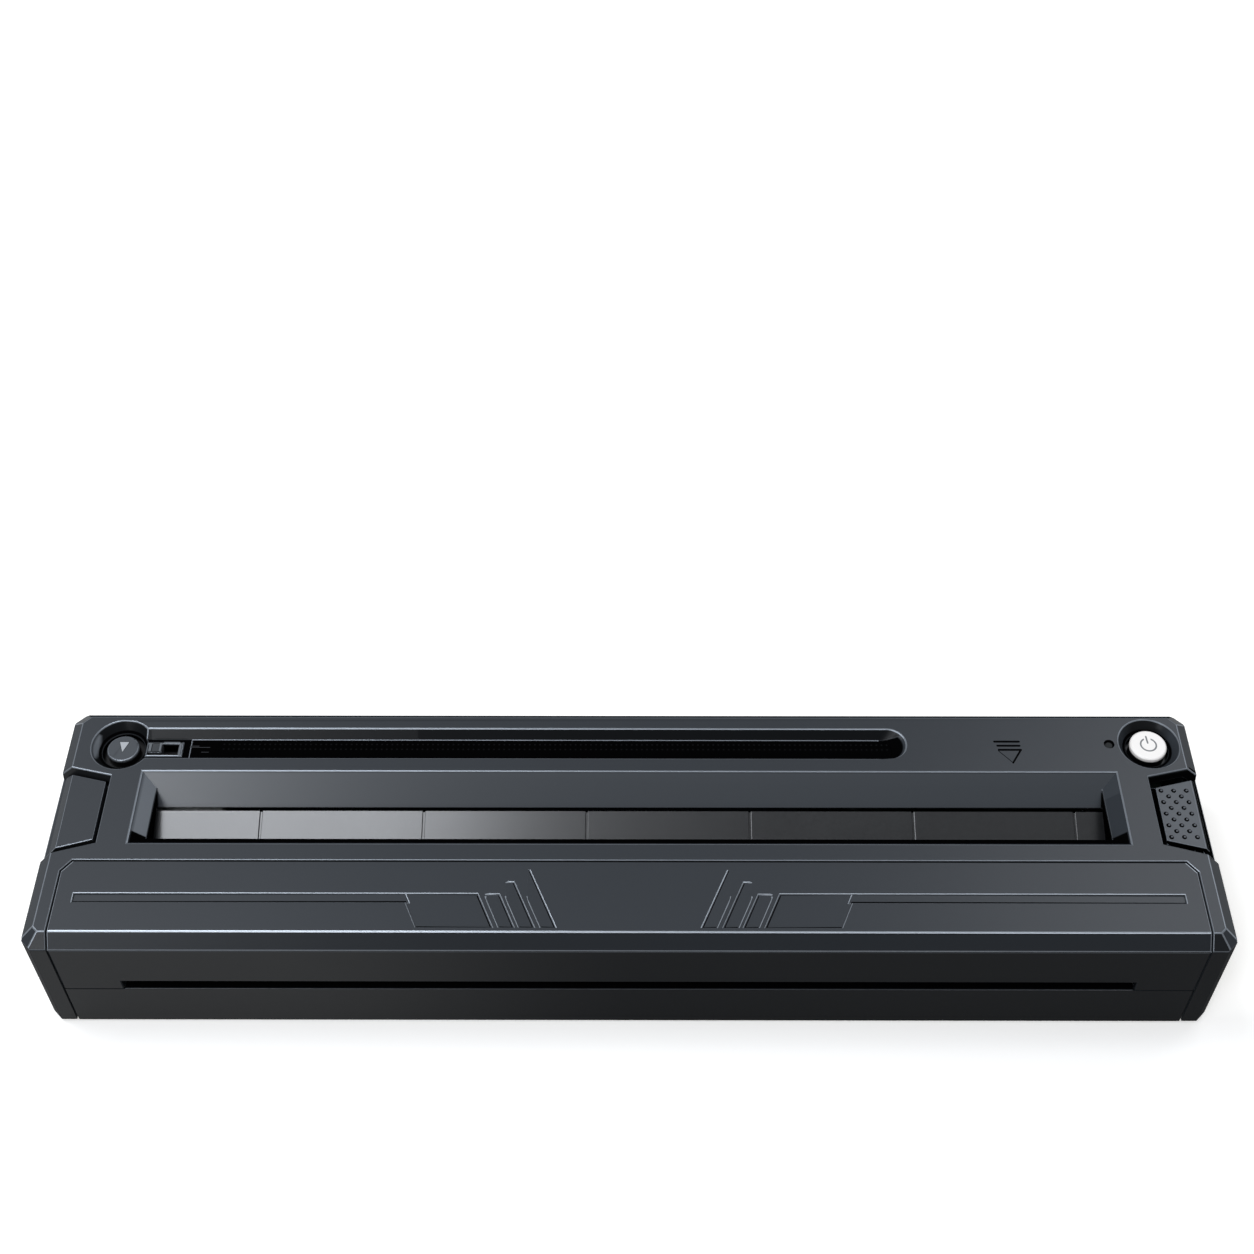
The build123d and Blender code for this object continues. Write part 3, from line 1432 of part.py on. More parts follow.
with BuildPart() as main_board:
    with BuildSketch(Plane.XY.offset(board_z)):
        Polygon(
            (board_x[0], board_y[0]),
            (board_x[1], board_y[0]),
            (board_x[1], board_y[1]),
            (board_x[0], board_y[1]),
            align=None,
        )
        with Locations(*board_holes):
            Circle(1.25, mode=Mode.SUBTRACT)
    extrude(amount=board_thick)
    # Processor, power parts and the two plugs.
    for x, y, length, deep, tall in (
        (74.0, 18.0, 9.0, 9.0, 1.2),
        (62.0, 17.0, 5.0, 6.0, 2.2),
        (86.0, 14.0, 4.0, 4.0, 1.0),
        (60.0, 24.5, 4.4, 3.0, 3.0),
        (98.0, 17.0, 8.0, 4.0, 3.6),
    ):
        with Locations((x, y, board_z + board_thick + tall / 2)):
            Box(length, deep, tall)
    with Locations((80.0, board_y[0] + 2.2, board_z + board_thick + 0.6)):
        Box(38.0, 4.0, 1.2)
main_board.part.label = "main_board"
export_step(main_board.part, "parts/main_board.step")

with BuildPart() as usb_socket:
    socket_front_y = 24.6
    socket_back_y = back_y - 0.4
    with BuildSketch(Plane.XZ.offset(-socket_front_y)):
        with Locations((usb_x, usb_z)):
            SlotOverall(9.0, 3.2)
    extrude(amount=socket_front_y - socket_back_y)
    with BuildSketch(Plane.XZ.offset(-socket_front_y - 1.0)):
        with Locations((usb_x, usb_z)):
            SlotOverall(8.4, 2.6)
    extrude(amount=socket_front_y + 1.0 - socket_back_y, mode=Mode.SUBTRACT)
    with Locations((usb_x, (socket_front_y + socket_back_y) / 2, usb_z)):
        Box(6.6, socket_back_y - socket_front_y - 1.2, 0.7)
    for offset_x in (-4.0, 4.0):
        with Locations((usb_x + offset_x, socket_front_y + 1.8, board_z + board_thick + 0.22)):
            Box(0.8, 1.6, 0.44)
usb_socket.part.label = "usb_socket"
export_step(usb_socket.part, "parts/usb_socket.step")

with BuildPart() as board_screws:
    for x, y in board_holes:
        with Locations((x, y, board_z + board_thick + 0.6)):
            Cylinder(1.9, 1.2)
        with Locations((x, y, board_z + board_thick - 1.8)):
            Cylinder(0.9, 3.6)
        with Locations((x, y, board_z + board_thick + 1.0)):
            Box(0.5, 2.2, 0.6, mode=Mode.SUBTRACT)
            Box(2.2, 0.5, 0.6, mode=Mode.SUBTRACT)
board_screws.part.label = "board_screws"
export_step(board_screws.part, "parts/board_screws.step")

# ================================================================ feet and case screws
with BuildPart() as rubber_feet:
    for x, y in foot_places:
        with BuildSketch(Plane.XY):
            with Locations((x, y)):
                RectangleRounded(16.0, 8.0, 2.0)
        extrude(amount=foot_height + 0.5)
rubber_feet.part.label = "rubber_feet"
export_step(rubber_feet.part, "parts/rubber_feet.step")

with BuildPart() as base_screws:
    for x, y in screw_places:
        with Locations((x, y, foot_height + 0.55)):
            Cylinder(2.4, 1.1)
        with Locations((x, y, foot_height + 5.0)):
            Cylinder(screw_r, 9.0)
        with Locations((x, y, foot_height)):
            Box(0.6, 3.0, 1.2, mode=Mode.SUBTRACT)
            Box(3.0, 0.6, 1.2, mode=Mode.SUBTRACT)
base_screws.part.label = "base_screws"
export_step(base_screws.part, "parts/base_screws.step")
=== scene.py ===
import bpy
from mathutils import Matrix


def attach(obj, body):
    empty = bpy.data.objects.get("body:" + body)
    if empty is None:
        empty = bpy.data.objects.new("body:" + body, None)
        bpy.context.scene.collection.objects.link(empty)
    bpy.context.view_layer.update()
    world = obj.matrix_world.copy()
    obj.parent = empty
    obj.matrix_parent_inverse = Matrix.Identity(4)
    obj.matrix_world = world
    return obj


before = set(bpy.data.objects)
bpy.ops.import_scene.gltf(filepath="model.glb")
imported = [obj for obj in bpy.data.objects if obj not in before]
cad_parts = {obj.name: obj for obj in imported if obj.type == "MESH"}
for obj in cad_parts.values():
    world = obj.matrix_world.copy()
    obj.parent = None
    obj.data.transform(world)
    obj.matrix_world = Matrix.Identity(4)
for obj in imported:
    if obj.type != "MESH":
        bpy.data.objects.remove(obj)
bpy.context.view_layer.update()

import math

import bmesh
import bpy
from mathutils import Vector

mm = 0.001


def inMetres(values):
    return tuple(v * mm for v in values)


def newMaterial(name):
    material = bpy.data.materials.new(name)
    material.use_nodes = True
    tree = material.node_tree
    return material, tree, tree.nodes["Principled BSDF"]


# short ways to place a calculating node
def mathNode(tree, operation, first, second=None, third=None, clamp=False):
    node = tree.nodes.new("ShaderNodeMath")
    node.operation = operation
    node.use_clamp = clamp
    for socket, value in zip(node.inputs, (first, second, third)):
        if value is None:
            continue
        if isinstance(value, (int, float)):
            socket.default_value = value
        else:
            tree.links.new(value, socket)
    return node.outputs[0]


def vectorNode(tree, operation, first, second=None, scale=None, output=0):
    node = tree.nodes.new("ShaderNodeVectorMath")
    node.operation = operation
    for socket, value in zip(node.inputs, (first, second)):
        if value is None:
            continue
        if isinstance(value, tuple):
            socket.default_value = value
        else:
            tree.links.new(value, socket)
    if scale is not None:
        if isinstance(scale, (int, float)):
            node.inputs["Scale"].default_value = scale
        else:
            tree.links.new(scale, node.inputs["Scale"])
    return node.outputs[output]


def fadeAlong(tree, axis, places, values):
    # passes smoothly from one value to another between two places on an axis of the object
    spot = tree.nodes.new("ShaderNodeTexCoord")
    split = tree.nodes.new("ShaderNodeSeparateXYZ")
    fade = tree.nodes.new("ShaderNodeMapRange")
    fade.interpolation_type = "SMOOTHSTEP"
    tree.links.new(spot.outputs["Object"], split.inputs[0])
    tree.links.new(split.outputs["XYZ".index(axis)], fade.inputs["Value"])
    for label, value in zip(("From Min", "From Max", "To Min", "To Max"), (*inMetres(places), *values)):
        fade.inputs[label].default_value = value
    return fade.outputs[0]


# camera
cameraSettings = {
    # millimetres and degrees
    "place": (0.76, -237.4, 376.9),
    "tiltDeg": 40.77,
    "turnDeg": 0.16,
    "rollDeg": 0.09,
    "lens": 52.54,
    "sensor": 36.0,
    "clipStart": 10.0,
}


def addCamera(s):
    data = bpy.data.cameras.new("camera")
    data.lens = s["lens"]
    data.sensor_width = s["sensor"]
    data.clip_start = s["clipStart"] * mm
    camera = bpy.data.objects.new("camera", data)
    bpy.context.scene.collection.objects.link(camera)
    camera.location = inMetres(s["place"])
    camera.rotation_euler = [math.radians(v) for v in (s["tiltDeg"], s["rollDeg"], s["turnDeg"])]
    bpy.context.scene.camera = camera


addCamera(cameraSettings)
print("camera placed")


# light and stage
lightSettings = {
    "surround": (0.25, 0.255, 0.265, 1.0),
    "floorSize": 8.0,  # metres
    "floorColour": (0.87, 0.86, 0.84, 1.0),
    "floorRough": 0.9,
    "floorSpecular": 0.1,
    "floorLift": (0.19, 0.185, 0.175),  # added to the floor where it is seen, so it reads as white
    # painted light: past the front edge of the case the floor's lift grows, filling the shadows the lamps
    # cast beside and behind it
    "paintedLightGrowsY": (-38.0, -22.0),  # between these depths, about the front edge of the case, the lift grows
    "paintedLightGrowth": (1.0, 2.1),
    "lampColour": (0.95, 0.985, 1.04),
    # each lamp: direction from the case, distance in metres, width, height, brightness (1 looks white)
    "lamps": {
        "keyLeft": ((-0.30, -0.42, 0.86), 1.2, 0.60, 0.36, 5.5),
        "keyRight": ((0.34, -0.42, 0.86), 1.2, 0.60, 0.36, 3.8),
        "leftStrip": ((-0.37, 0.08, 0.92), 0.9, 0.27, 0.50, 8.0),
        "slopeFill": ((-0.48, -0.74, 0.46), 1.0, 0.34, 0.30, 8.0),
        "backRight": ((0.47, 0.45, 0.78), 1.1, 0.44, 0.46, 2.2),
        "backLeft": ((-0.40, 0.50, 0.77), 1.1, 0.34, 0.40, 0.6),
        "lowLeft": ((-0.80, -0.56, 0.22), 0.55, 0.20, 0.16, 0.5),
        "lowRight": ((0.95, 0.20, 0.14), 0.60, 0.20, 0.12, 1.5),
    },
}


def addWorld(s):
    world = bpy.data.worlds.new("studio")
    world.use_nodes = True
    world.node_tree.nodes["Background"].inputs["Color"].default_value = s["surround"]
    bpy.context.scene.world = world


def addLamps(s):
    for name, (towards, distance, width, height, brightness) in s["lamps"].items():
        data = bpy.data.lights.new(name, "AREA")
        data.shape = "RECTANGLE"
        data.size = width
        data.size_y = height
        data.energy = brightness * math.pi * width * height
        data.color = s["lampColour"]
        lamp = bpy.data.objects.new(name, data)
        bpy.context.scene.collection.objects.link(lamp)
        aim = Vector(towards).normalized()
        lamp.location = aim * distance
        lamp.rotation_euler = (-aim).to_track_quat("-Z", "Y").to_euler()
        lamp.visible_camera = False


def addFloor(s):
    half = s["floorSize"] / 2
    mesh = bpy.data.meshes.new("floor")
    corners = [(x * half, y * half, 0) for x, y in ((-1, -1), (1, -1), (1, 1), (-1, 1))]
    mesh.from_pydata(corners, [], [(0, 1, 2, 3)])
    floor = bpy.data.objects.new("floor", mesh)
    bpy.context.scene.collection.objects.link(floor)
    material, tree, shader = newMaterial("floorPaper")
    shader.inputs["Base Color"].default_value = s["floorColour"]
    shader.inputs["Roughness"].default_value = s["floorRough"]
    shader.inputs["Specular IOR Level"].default_value = s["floorSpecular"]
    shader.inputs["Emission Strength"].default_value = 1.0
    rays = tree.nodes.new("ShaderNodeLightPath")
    seen = mathNode(tree, "MAXIMUM", rays.outputs["Is Camera Ray"], rays.outputs["Is Glossy Ray"])
    seen = mathNode(tree, "MAXIMUM", seen, rays.outputs["Is Transmission Ray"])
    # painted light: a stronger lift beside and behind the case fills the lamps' shadows on the floor
    growth = fadeAlong(tree, "Y", s["paintedLightGrowsY"], s["paintedLightGrowth"])
    lift = vectorNode(tree, "SCALE", s["floorLift"], scale=mathNode(tree, "MULTIPLY", seen, growth))
    tree.links.new(lift, shader.inputs["Emission Color"])
    mesh.materials.append(material)


bpy.context.scene.view_settings.view_transform = "Standard"
addWorld(lightSettings)
addLamps(lightSettings)
addFloor(lightSettings)
print("light and floor placed")


# shared shader effects
def groupWith(name, inputs, outputs):
    group = bpy.data.node_groups.new(name, "ShaderNodeTree")
    for label, kind, value in inputs:
        socket = group.interface.new_socket(name=label, in_out="INPUT", socket_type=kind)
        socket.default_value = value
    for label, kind in outputs:
        group.interface.new_socket(name=label, in_out="OUTPUT", socket_type=kind)
    return group, group.nodes.new("NodeGroupInput"), group.nodes.new("NodeGroupOutput")


mouldGrain = {
    "fineDetail": 3.0,
    "fineRough": 0.6,
    "slowScale": 38.0,
    "slowDetail": 4.0,
    "slowPart": 0.4,
    "usedSpan": (0.35, 0.65),  # the part of the noise that runs from the low to the high roughness
    "bumpHeight": 0.06,
}


def buildMouldGrain(s):
    # fine spark-eroded grain of moulded plastic, with a slow drift in shade
    group, given, out = groupWith(
        "mouldGrain",
        (
            ("Colour", "NodeSocketColor", (0.05, 0.05, 0.05, 1)),
            ("Grain per metre", "NodeSocketFloat", 2600.0),
            ("Shade drift", "NodeSocketFloat", 0.12),
            ("Rough low", "NodeSocketFloat", 0.45),
            ("Rough high", "NodeSocketFloat", 0.60),
            ("Depth", "NodeSocketFloat", 0.2),
        ),
        (("Colour", "NodeSocketColor"), ("Roughness", "NodeSocketFloat"), ("Normal", "NodeSocketVector")),
    )
    links = group.links
    spot = group.nodes.new("ShaderNodeTexCoord")
    fine = group.nodes.new("ShaderNodeTexNoise")
    fine.inputs["Detail"].default_value = s["fineDetail"]
    fine.inputs["Roughness"].default_value = s["fineRough"]
    slow = group.nodes.new("ShaderNodeTexNoise")
    slow.inputs["Scale"].default_value = s["slowScale"]
    slow.inputs["Detail"].default_value = s["slowDetail"]
    links.new(spot.outputs["Object"], fine.inputs["Vector"])
    links.new(spot.outputs["Object"], slow.inputs["Vector"])
    links.new(given.outputs["Grain per metre"], fine.inputs["Scale"])
    slowPart = mathNode(group, "MULTIPLY", slow.outputs["Fac"], s["slowPart"])
    both = mathNode(group, "MULTIPLY_ADD", fine.outputs["Fac"], 1.0 - s["slowPart"], slowPart)
    centred = mathNode(group, "SUBTRACT", both, 0.5)
    scaled = mathNode(group, "MULTIPLY_ADD", centred, given.outputs["Shade drift"], 1.0)
    shade = vectorNode(group, "SCALE", given.outputs["Colour"], scale=scaled)
    links.new(shade, out.inputs["Colour"])
    rough = group.nodes.new("ShaderNodeMapRange")
    links.new(both, rough.inputs["Value"])
    rough.inputs["From Min"].default_value, rough.inputs["From Max"].default_value = s["usedSpan"]
    links.new(given.outputs["Rough low"], rough.inputs["To Min"])
    links.new(given.outputs["Rough high"], rough.inputs["To Max"])
    links.new(rough.outputs[0], out.inputs["Roughness"])
    bump = group.nodes.new("ShaderNodeBump")
    bump.inputs["Distance"].default_value = s["bumpHeight"] * mm
    links.new(fine.outputs["Fac"], bump.inputs["Height"])
    links.new(given.outputs["Depth"], bump.inputs["Strength"])
    links.new(bump.outputs[0], out.inputs["Normal"])
    return group


brushedLines = {
    "detail": 2.0,
    "stretch": (0.03, 1.0, 1.0),
    "shade": (0.88, 0.2),  # darkest, and how much it grows
    "bumpHeight": 0.03,
    "bumpStrength": 0.15,
}


def buildBrushedLines(s):
    # fine drawn lines along X on sheet metal and turned rods
    group, given, out = groupWith(
        "brushedLines",
        (
            ("Colour", "NodeSocketColor", (0.6, 0.6, 0.6, 1)),
            ("Lines per metre", "NodeSocketFloat", 4000.0),
            ("Rough low", "NodeSocketFloat", 0.22),
            ("Rough high", "NodeSocketFloat", 0.42),
        ),
        (("Colour", "NodeSocketColor"), ("Roughness", "NodeSocketFloat"), ("Normal", "NodeSocketVector")),
    )
    links = group.links
    spot = group.nodes.new("ShaderNodeTexCoord")
    lines = group.nodes.new("ShaderNodeTexNoise")
    lines.inputs["Detail"].default_value = s["detail"]
    links.new(vectorNode(group, "MULTIPLY", spot.outputs["Object"], s["stretch"]), lines.inputs["Vector"])
    links.new(given.outputs["Lines per metre"], lines.inputs["Scale"])
    rough = group.nodes.new("ShaderNodeMapRange")
    links.new(lines.outputs["Fac"], rough.inputs["Value"])
    links.new(given.outputs["Rough low"], rough.inputs["To Min"])
    links.new(given.outputs["Rough high"], rough.inputs["To Max"])
    links.new(rough.outputs[0], out.inputs["Roughness"])
    darkest, growth = s["shade"]
    shade = mathNode(group, "MULTIPLY_ADD", lines.outputs["Fac"], growth, darkest)
    links.new(vectorNode(group, "SCALE", given.outputs["Colour"], scale=shade), out.inputs["Colour"])
    bump = group.nodes.new("ShaderNodeBump")
    bump.inputs["Distance"].default_value = s["bumpHeight"] * mm
    bump.inputs["Strength"].default_value = s["bumpStrength"]
    links.new(lines.outputs["Fac"], bump.inputs["Height"])
    links.new(bump.outputs[0], out.inputs["Normal"])
    return group


def buildInsideBox():
    # 1 inside a box given in the object's own frame, 0 outside, with a soft edge
    group, given, out = groupWith(
        "insideBox",
        (
            ("Low", "NodeSocketVector", (0, 0, 0)),
            ("High", "NodeSocketVector", (1, 1, 1)),
            ("Soft edge", "NodeSocketFloat", 0.0002),
        ),
        (("Mask", "NodeSocketFloat"),),
    )
    spot = group.nodes.new("ShaderNodeTexCoord")
    above = vectorNode(group, "SUBTRACT", spot.outputs["Object"], given.outputs["Low"])
    below = vectorNode(group, "SUBTRACT", given.outputs["High"], spot.outputs["Object"])
    split = group.nodes.new("ShaderNodeSeparateXYZ")
    group.links.new(vectorNode(group, "MINIMUM", above, below), split.inputs[0])
    nearest = mathNode(group, "MINIMUM", split.outputs[0], split.outputs[1])
    nearest = mathNode(group, "MINIMUM", nearest, split.outputs[2])
    mask = mathNode(group, "DIVIDE", nearest, given.outputs["Soft edge"], clamp=True)
    group.links.new(mask, out.inputs["Mask"])
    return group


def buildFacing():
    # 1 where the surface faces a direction of the object's own frame, 0 where it turns away
    group, given, out = groupWith(
        "facing",
        (
            ("Towards", "NodeSocketVector", (0.0, -1.0, 0.0)),
            ("Starts at", "NodeSocketFloat", 0.75),
            ("Full at", "NodeSocketFloat", 0.97),
        ),
        (("Mask", "NodeSocketFloat"),),
    )
    spot = group.nodes.new("ShaderNodeTexCoord")
    towards = given.outputs["Towards"]
    across = vectorNode(group, "DOT_PRODUCT", spot.outputs["Normal"], towards, output="Value")
    ramp = group.nodes.new("ShaderNodeMapRange")
    group.links.new(across, ramp.inputs["Value"])
    group.links.new(given.outputs["Starts at"], ramp.inputs["From Min"])
    group.links.new(given.outputs["Full at"], ramp.inputs["From Max"])
    group.links.new(ramp.outputs[0], out.inputs["Mask"])
    return group


lineSharpness = 30.0  # a mark's edge fades over one part in this many of a millimetre


def lineMask(group, halfWidth, away):
    # 1 nearer than half the line's width, 0 beyond it
    inside = mathNode(group, "SUBTRACT", halfWidth, away)
    return mathNode(group, "MULTIPLY_ADD", inside, lineSharpness / mm, 0.5, clamp=True)


def buildStroke():
    # a straight mark with round ends between two points, as seen from above
    group, given, out = groupWith(
        "stroke",
        (
            ("Start", "NodeSocketVector", (0, 0, 0)),
            ("End", "NodeSocketVector", (1, 0, 0)),
            ("Half width", "NodeSocketFloat", 0.0002),
        ),
        (("Mask", "NodeSocketFloat"),),
    )
    spot = group.nodes.new("ShaderNodeTexCoord")
    plan = (1.0, 1.0, 0.0)
    reach = vectorNode(group, "SUBTRACT", spot.outputs["Object"], given.outputs["Start"])
    reach = vectorNode(group, "MULTIPLY", reach, plan)
    line = vectorNode(group, "SUBTRACT", given.outputs["End"], given.outputs["Start"])
    line = vectorNode(group, "MULTIPLY", line, plan)
    along = vectorNode(group, "DOT_PRODUCT", reach, line, output="Value")
    whole = vectorNode(group, "DOT_PRODUCT", line, line, output="Value")
    part = mathNode(group, "DIVIDE", along, whole, clamp=True)
    foot = vectorNode(group, "SCALE", line, scale=part)
    away = vectorNode(group, "DISTANCE", reach, foot, output="Value")
    group.links.new(lineMask(group, given.outputs["Half width"], away), out.inputs["Mask"])
    return group


def buildRing():
    # a round line about a centre on the surface
    group, given, out = groupWith(
        "ring",
        (
            ("Centre", "NodeSocketVector", (0, 0, 0)),
            ("Radius", "NodeSocketFloat", 0.002),
            ("Half width", "NodeSocketFloat", 0.0002),
        ),
        (("Mask", "NodeSocketFloat"),),
    )
    spot = group.nodes.new("ShaderNodeTexCoord")
    away = vectorNode(group, "DISTANCE", spot.outputs["Object"], given.outputs["Centre"], output="Value")
    off = mathNode(group, "ABSOLUTE", mathNode(group, "SUBTRACT", away, given.outputs["Radius"]))
    group.links.new(lineMask(group, given.outputs["Half width"], off), out.inputs["Mask"])
    return group


effects = {
    "grain": buildMouldGrain(mouldGrain),
    "brushed": buildBrushedLines(brushedLines),
    "box": buildInsideBox(),
    "facing": buildFacing(),
    "stroke": buildStroke(),
    "ring": buildRing(),
}
print("shader effects ready")


def place(tree, effect, **values):
    node = tree.nodes.new("ShaderNodeGroup")
    node.node_tree = effects[effect]
    for label, value in values.items():
        node.inputs[label.replace("_", " ")].default_value = value
    return node


def joinMasks(tree, masks):
    joined = masks[0]
    for mask in masks[1:]:
        joined = mathNode(tree, "MAXIMUM", joined, mask)
    return joined


def boxMasks(tree, boxes, soft=0.25):
    # boxes in millimetres, in the frame of the machine
    found = []
    for low, high in boxes:
        box = place(tree, "box", Low=inMetres(low), High=inMetres(high), Soft_edge=soft * mm)
        found.append(box.outputs[0])
    return joinMasks(tree, found)


def strokeMasks(tree, strokes):
    # strokes in millimetres: start and end as seen from above, and half the width
    found = []
    for start, end, halfWidth in strokes:
        ends = {"Start": inMetres((*start, 0.0)), "End": inMetres((*end, 0.0))}
        found.append(place(tree, "stroke", **ends, Half_width=halfWidth * mm).outputs[0])
    return joinMasks(tree, found)


def faceMask(tree, towards, limits):
    # 1 on faces turned to a direction, from the first cosine in limits to the second
    return place(tree, "facing", Towards=towards, Starts_at=limits[0], Full_at=limits[1]).outputs["Mask"]


def dulled(tree, value, mask, loss=1.0):
    # a value that loses this part of itself where the mask is 1
    return mathNode(tree, "MULTIPLY", value, mathNode(tree, "MULTIPLY_ADD", mask, -loss, 1.0))


def tint(tree, colour, mask, target):
    # colour drawn towards a target where the mask is 1
    mix = tree.nodes.new("ShaderNodeMix")
    mix.data_type = "RGBA"
    tree.links.new(mask, mix.inputs["Factor"])
    tree.links.new(colour, mix.inputs[6])
    mix.inputs[7].default_value = (*target, 1)
    return mix.outputs[2]


def tintShader(tree, shader, mask, target):
    base = shader.inputs["Base Color"]
    tree.links.new(tint(tree, base.links[0].from_socket, mask, target), base)


# finishes
def coverShader(tree, shader, effect):
    tree.links.new(effect.outputs["Colour"], shader.inputs["Base Color"])
    tree.links.new(effect.outputs["Roughness"], shader.inputs["Roughness"])
    tree.links.new(effect.outputs["Normal"], shader.inputs["Normal"])


def placeGrain(tree, colour, grain, drift, rough, depth):
    node = place(tree, "grain", Colour=(*colour, 1), Grain_per_metre=grain, Shade_drift=drift, Depth=depth)
    node.inputs["Rough low"].default_value, node.inputs["Rough high"].default_value = rough
    return node


plastic = {
    "grain": 2600.0,  # per metre
    "drift": 0.12,
    "rough": (0.45, 0.6),
    "depth": 0.2,
    "specular": 0.5,
    "coat": 0.0,
    "coatRough": 0.3,
}


def grainMaterial(name, colour, **changes):
    # plain moulded plastic, with what differs from the usual given by name
    s = {**plastic, **changes}
    material, tree, shader = newMaterial(name)
    coverShader(tree, shader, placeGrain(tree, colour, s["grain"], s["drift"], s["rough"], s["depth"]))
    shader.inputs["Specular IOR Level"].default_value = s["specular"]
    shader.inputs["Coat Weight"].default_value = s["coat"]
    shader.inputs["Coat Roughness"].default_value = s["coatRough"]
    return material


def metalMaterial(name, colour, lines=4000.0, rough=(0.22, 0.42)):
    material, tree, shader = newMaterial(name)
    effect = place(tree, "brushed", Colour=(*colour, 1), Lines_per_metre=lines)
    effect.inputs["Rough low"].default_value, effect.inputs["Rough high"].default_value = rough
    coverShader(tree, shader, effect)
    shader.inputs["Metallic"].default_value = 1.0
    return material


# the two caps: centre, height of the top, half the width of the dish's floor, height up to which the foot
# gets painted shade
powerCap = {"centre": (121.7, 22.1), "top": 33.9, "dish": 6.3, "footTop": 32.9}
feedCap = {"centre": (-118.9, 21.5), "top": 32.8, "dish": 6.1, "footTop": 32.3}


def dishBox(cap, low, high):
    x, y = cap["centre"]
    reach = cap["dish"]
    return ((x - reach, y - reach, low), (x + reach, y + reach, high))


slateSettings = {
    "colour": (0.027, 0.031, 0.036),
    "grain": 3000.0,
    "drift": 0.16,
    "rough": (0.40, 0.52),
    "depth": 0.22,
    "specular": 0.0,  # all the gloss is in the coat, so that the masks reach it
    "coatRough": 0.30,
    "topShine": 0.85,
    # painted shade: faces turned to the front get a darker colour, and their gloss fades from the left end to
    # the right in place of light that falls off to the right
    "paintedFrontShade": (0.0088, 0.0094, 0.0101),
    "frontLimits": (0.35, 0.75),
    "frontShine": (0.26, 0.07),  # at the left end, right of the middle
    "frontShineX": (-80.0, 5.0),
    "backLimits": (0.3, 0.6),
    "endLimits": (0.35, 0.6),
    "endLoss": 0.7,  # part of the gloss that the two ends lose
    "satinColour": (0.036, 0.041, 0.047),
    "shadedColour": (0.006, 0.0066, 0.0073),
    "shadedLoss": 0.45,
    "litColour": (0.15, 0.163, 0.178),
    "litLimits": (0.25, 0.5),
    "litSoft": 0.7,
    "darkColour": (0.0012, 0.0012, 0.0013),
}

coverSettings = {**slateSettings, "shadedColour": (0.016, 0.018, 0.0205), "shadedLoss": 0.4}
frontBevel = (((-134.0, -33.0, 31.2), (134.0, -29.2, 34.25)),)
# painted shade inside the exit slot, near black
exitSlot = (((-112.9, -31.85, 14.4), (112.9, -18.0, 18.3)),)

padSettings = {**slateSettings, "colour": (0.058, 0.065, 0.074), "topShine": 0.9}
# painted shade in the grip pits of the latch pad, near black
gripPits = (((117.0, -12.0, 29.0), (134.0, 18.0, 31.85)),)

# places in millimetres, in the frame of the machine
housingSettings = {
    # painted shade: near black where shade falls in the recesses, holes and gaps
    "dark": (
        ((-114.0, 17.2, 30.0), (66.0, 24.55, 33.9)),  # channel floor and its front wall
        ((-113.3, -3.4, 20.0), (113.3, 8.15, 28.5)),  # below the rear slope
        ((-113.2, -6.6, 30.9), (113.2, -2.4, 34.1)),  # front of the feed opening
        ((109.2, -6.2, 20.0), (110.8, 12.0, 31.0)),  # ends of the throat
        ((-110.8, -6.2, 20.0), (-109.2, 12.0, 31.0)),
        dishBox(feedCap, 30.5, 32.4),
        dishBox(powerCap, 30.5, 32.4),
        ((110.9, 20.5, 32.0), (113.9, 23.5, 34.25)),  # hole of the indicator
        ((119.9, -9.6, 20.0), (132.2, 15.9, 33.9)),  # right end recess
    ),
    "satin": (
        ((-112.8, 8.0, 27.8), (112.8, 13.9, 34.2)),  # rear slope of the feed opening
        ((-113.3, -2.6, 30.6), (-109.4, 13.0, 34.2)),  # its left slope
    ),
    "shaded": (
        ((-126.4, 13.9, 30.0), (-112.6, 29.0, 34.15)),  # left dish
        ((-50.0, 24.4, 30.0), (68.0, 27.4, 34.2)),  # channel's back wall
    ),
    "lit": (
        ((-127.0, 17.6, 31.6), (-124.2, 25.0, 34.2)),  # left wall of the left dish
        ((-113.6, -3.2, 29.6), (-108.9, 13.6, 34.2)),  # left slope
    ),
    "marksAndCreaseShade": (
        # three bars over an outlined triangle: the side where the sheet goes in
        ((85.6, 22.65), (91.3, 22.65), 0.28),
        ((86.2, 21.45), (91.3, 21.45), 0.28),
        ((86.4, 20.25), (91.5, 20.25), 0.28),
        ((91.4, 20.1), (89.2, 16.5), 0.22),
        ((89.2, 16.5), (86.2, 20.0), 0.09),
    ),
}


creaseShadeSettings = {
    # painted shade in the creases at the foot of the cover's slanted bars, plaques and long grooves
    "front": -27.8,
    "lean": 0.42,
    "bars": ((25.0, -19.5), (20.6, -16.35), (15.9, -13.1)),  # inner end, back end
    "barWide": 3.2,
    "plaque": (29.7, 46.2),
    "plaqueBack": -19.7,
    "inset": 0.2,
    "farInset": 0.3,
    "footUp": 0.15,
    "groove": (48.9, 122.0),
    "grooveY": -21.34,
    "grooveHalf": 0.2,
    "footHalf": 0.11,
    "sideHalf": 0.088,
}


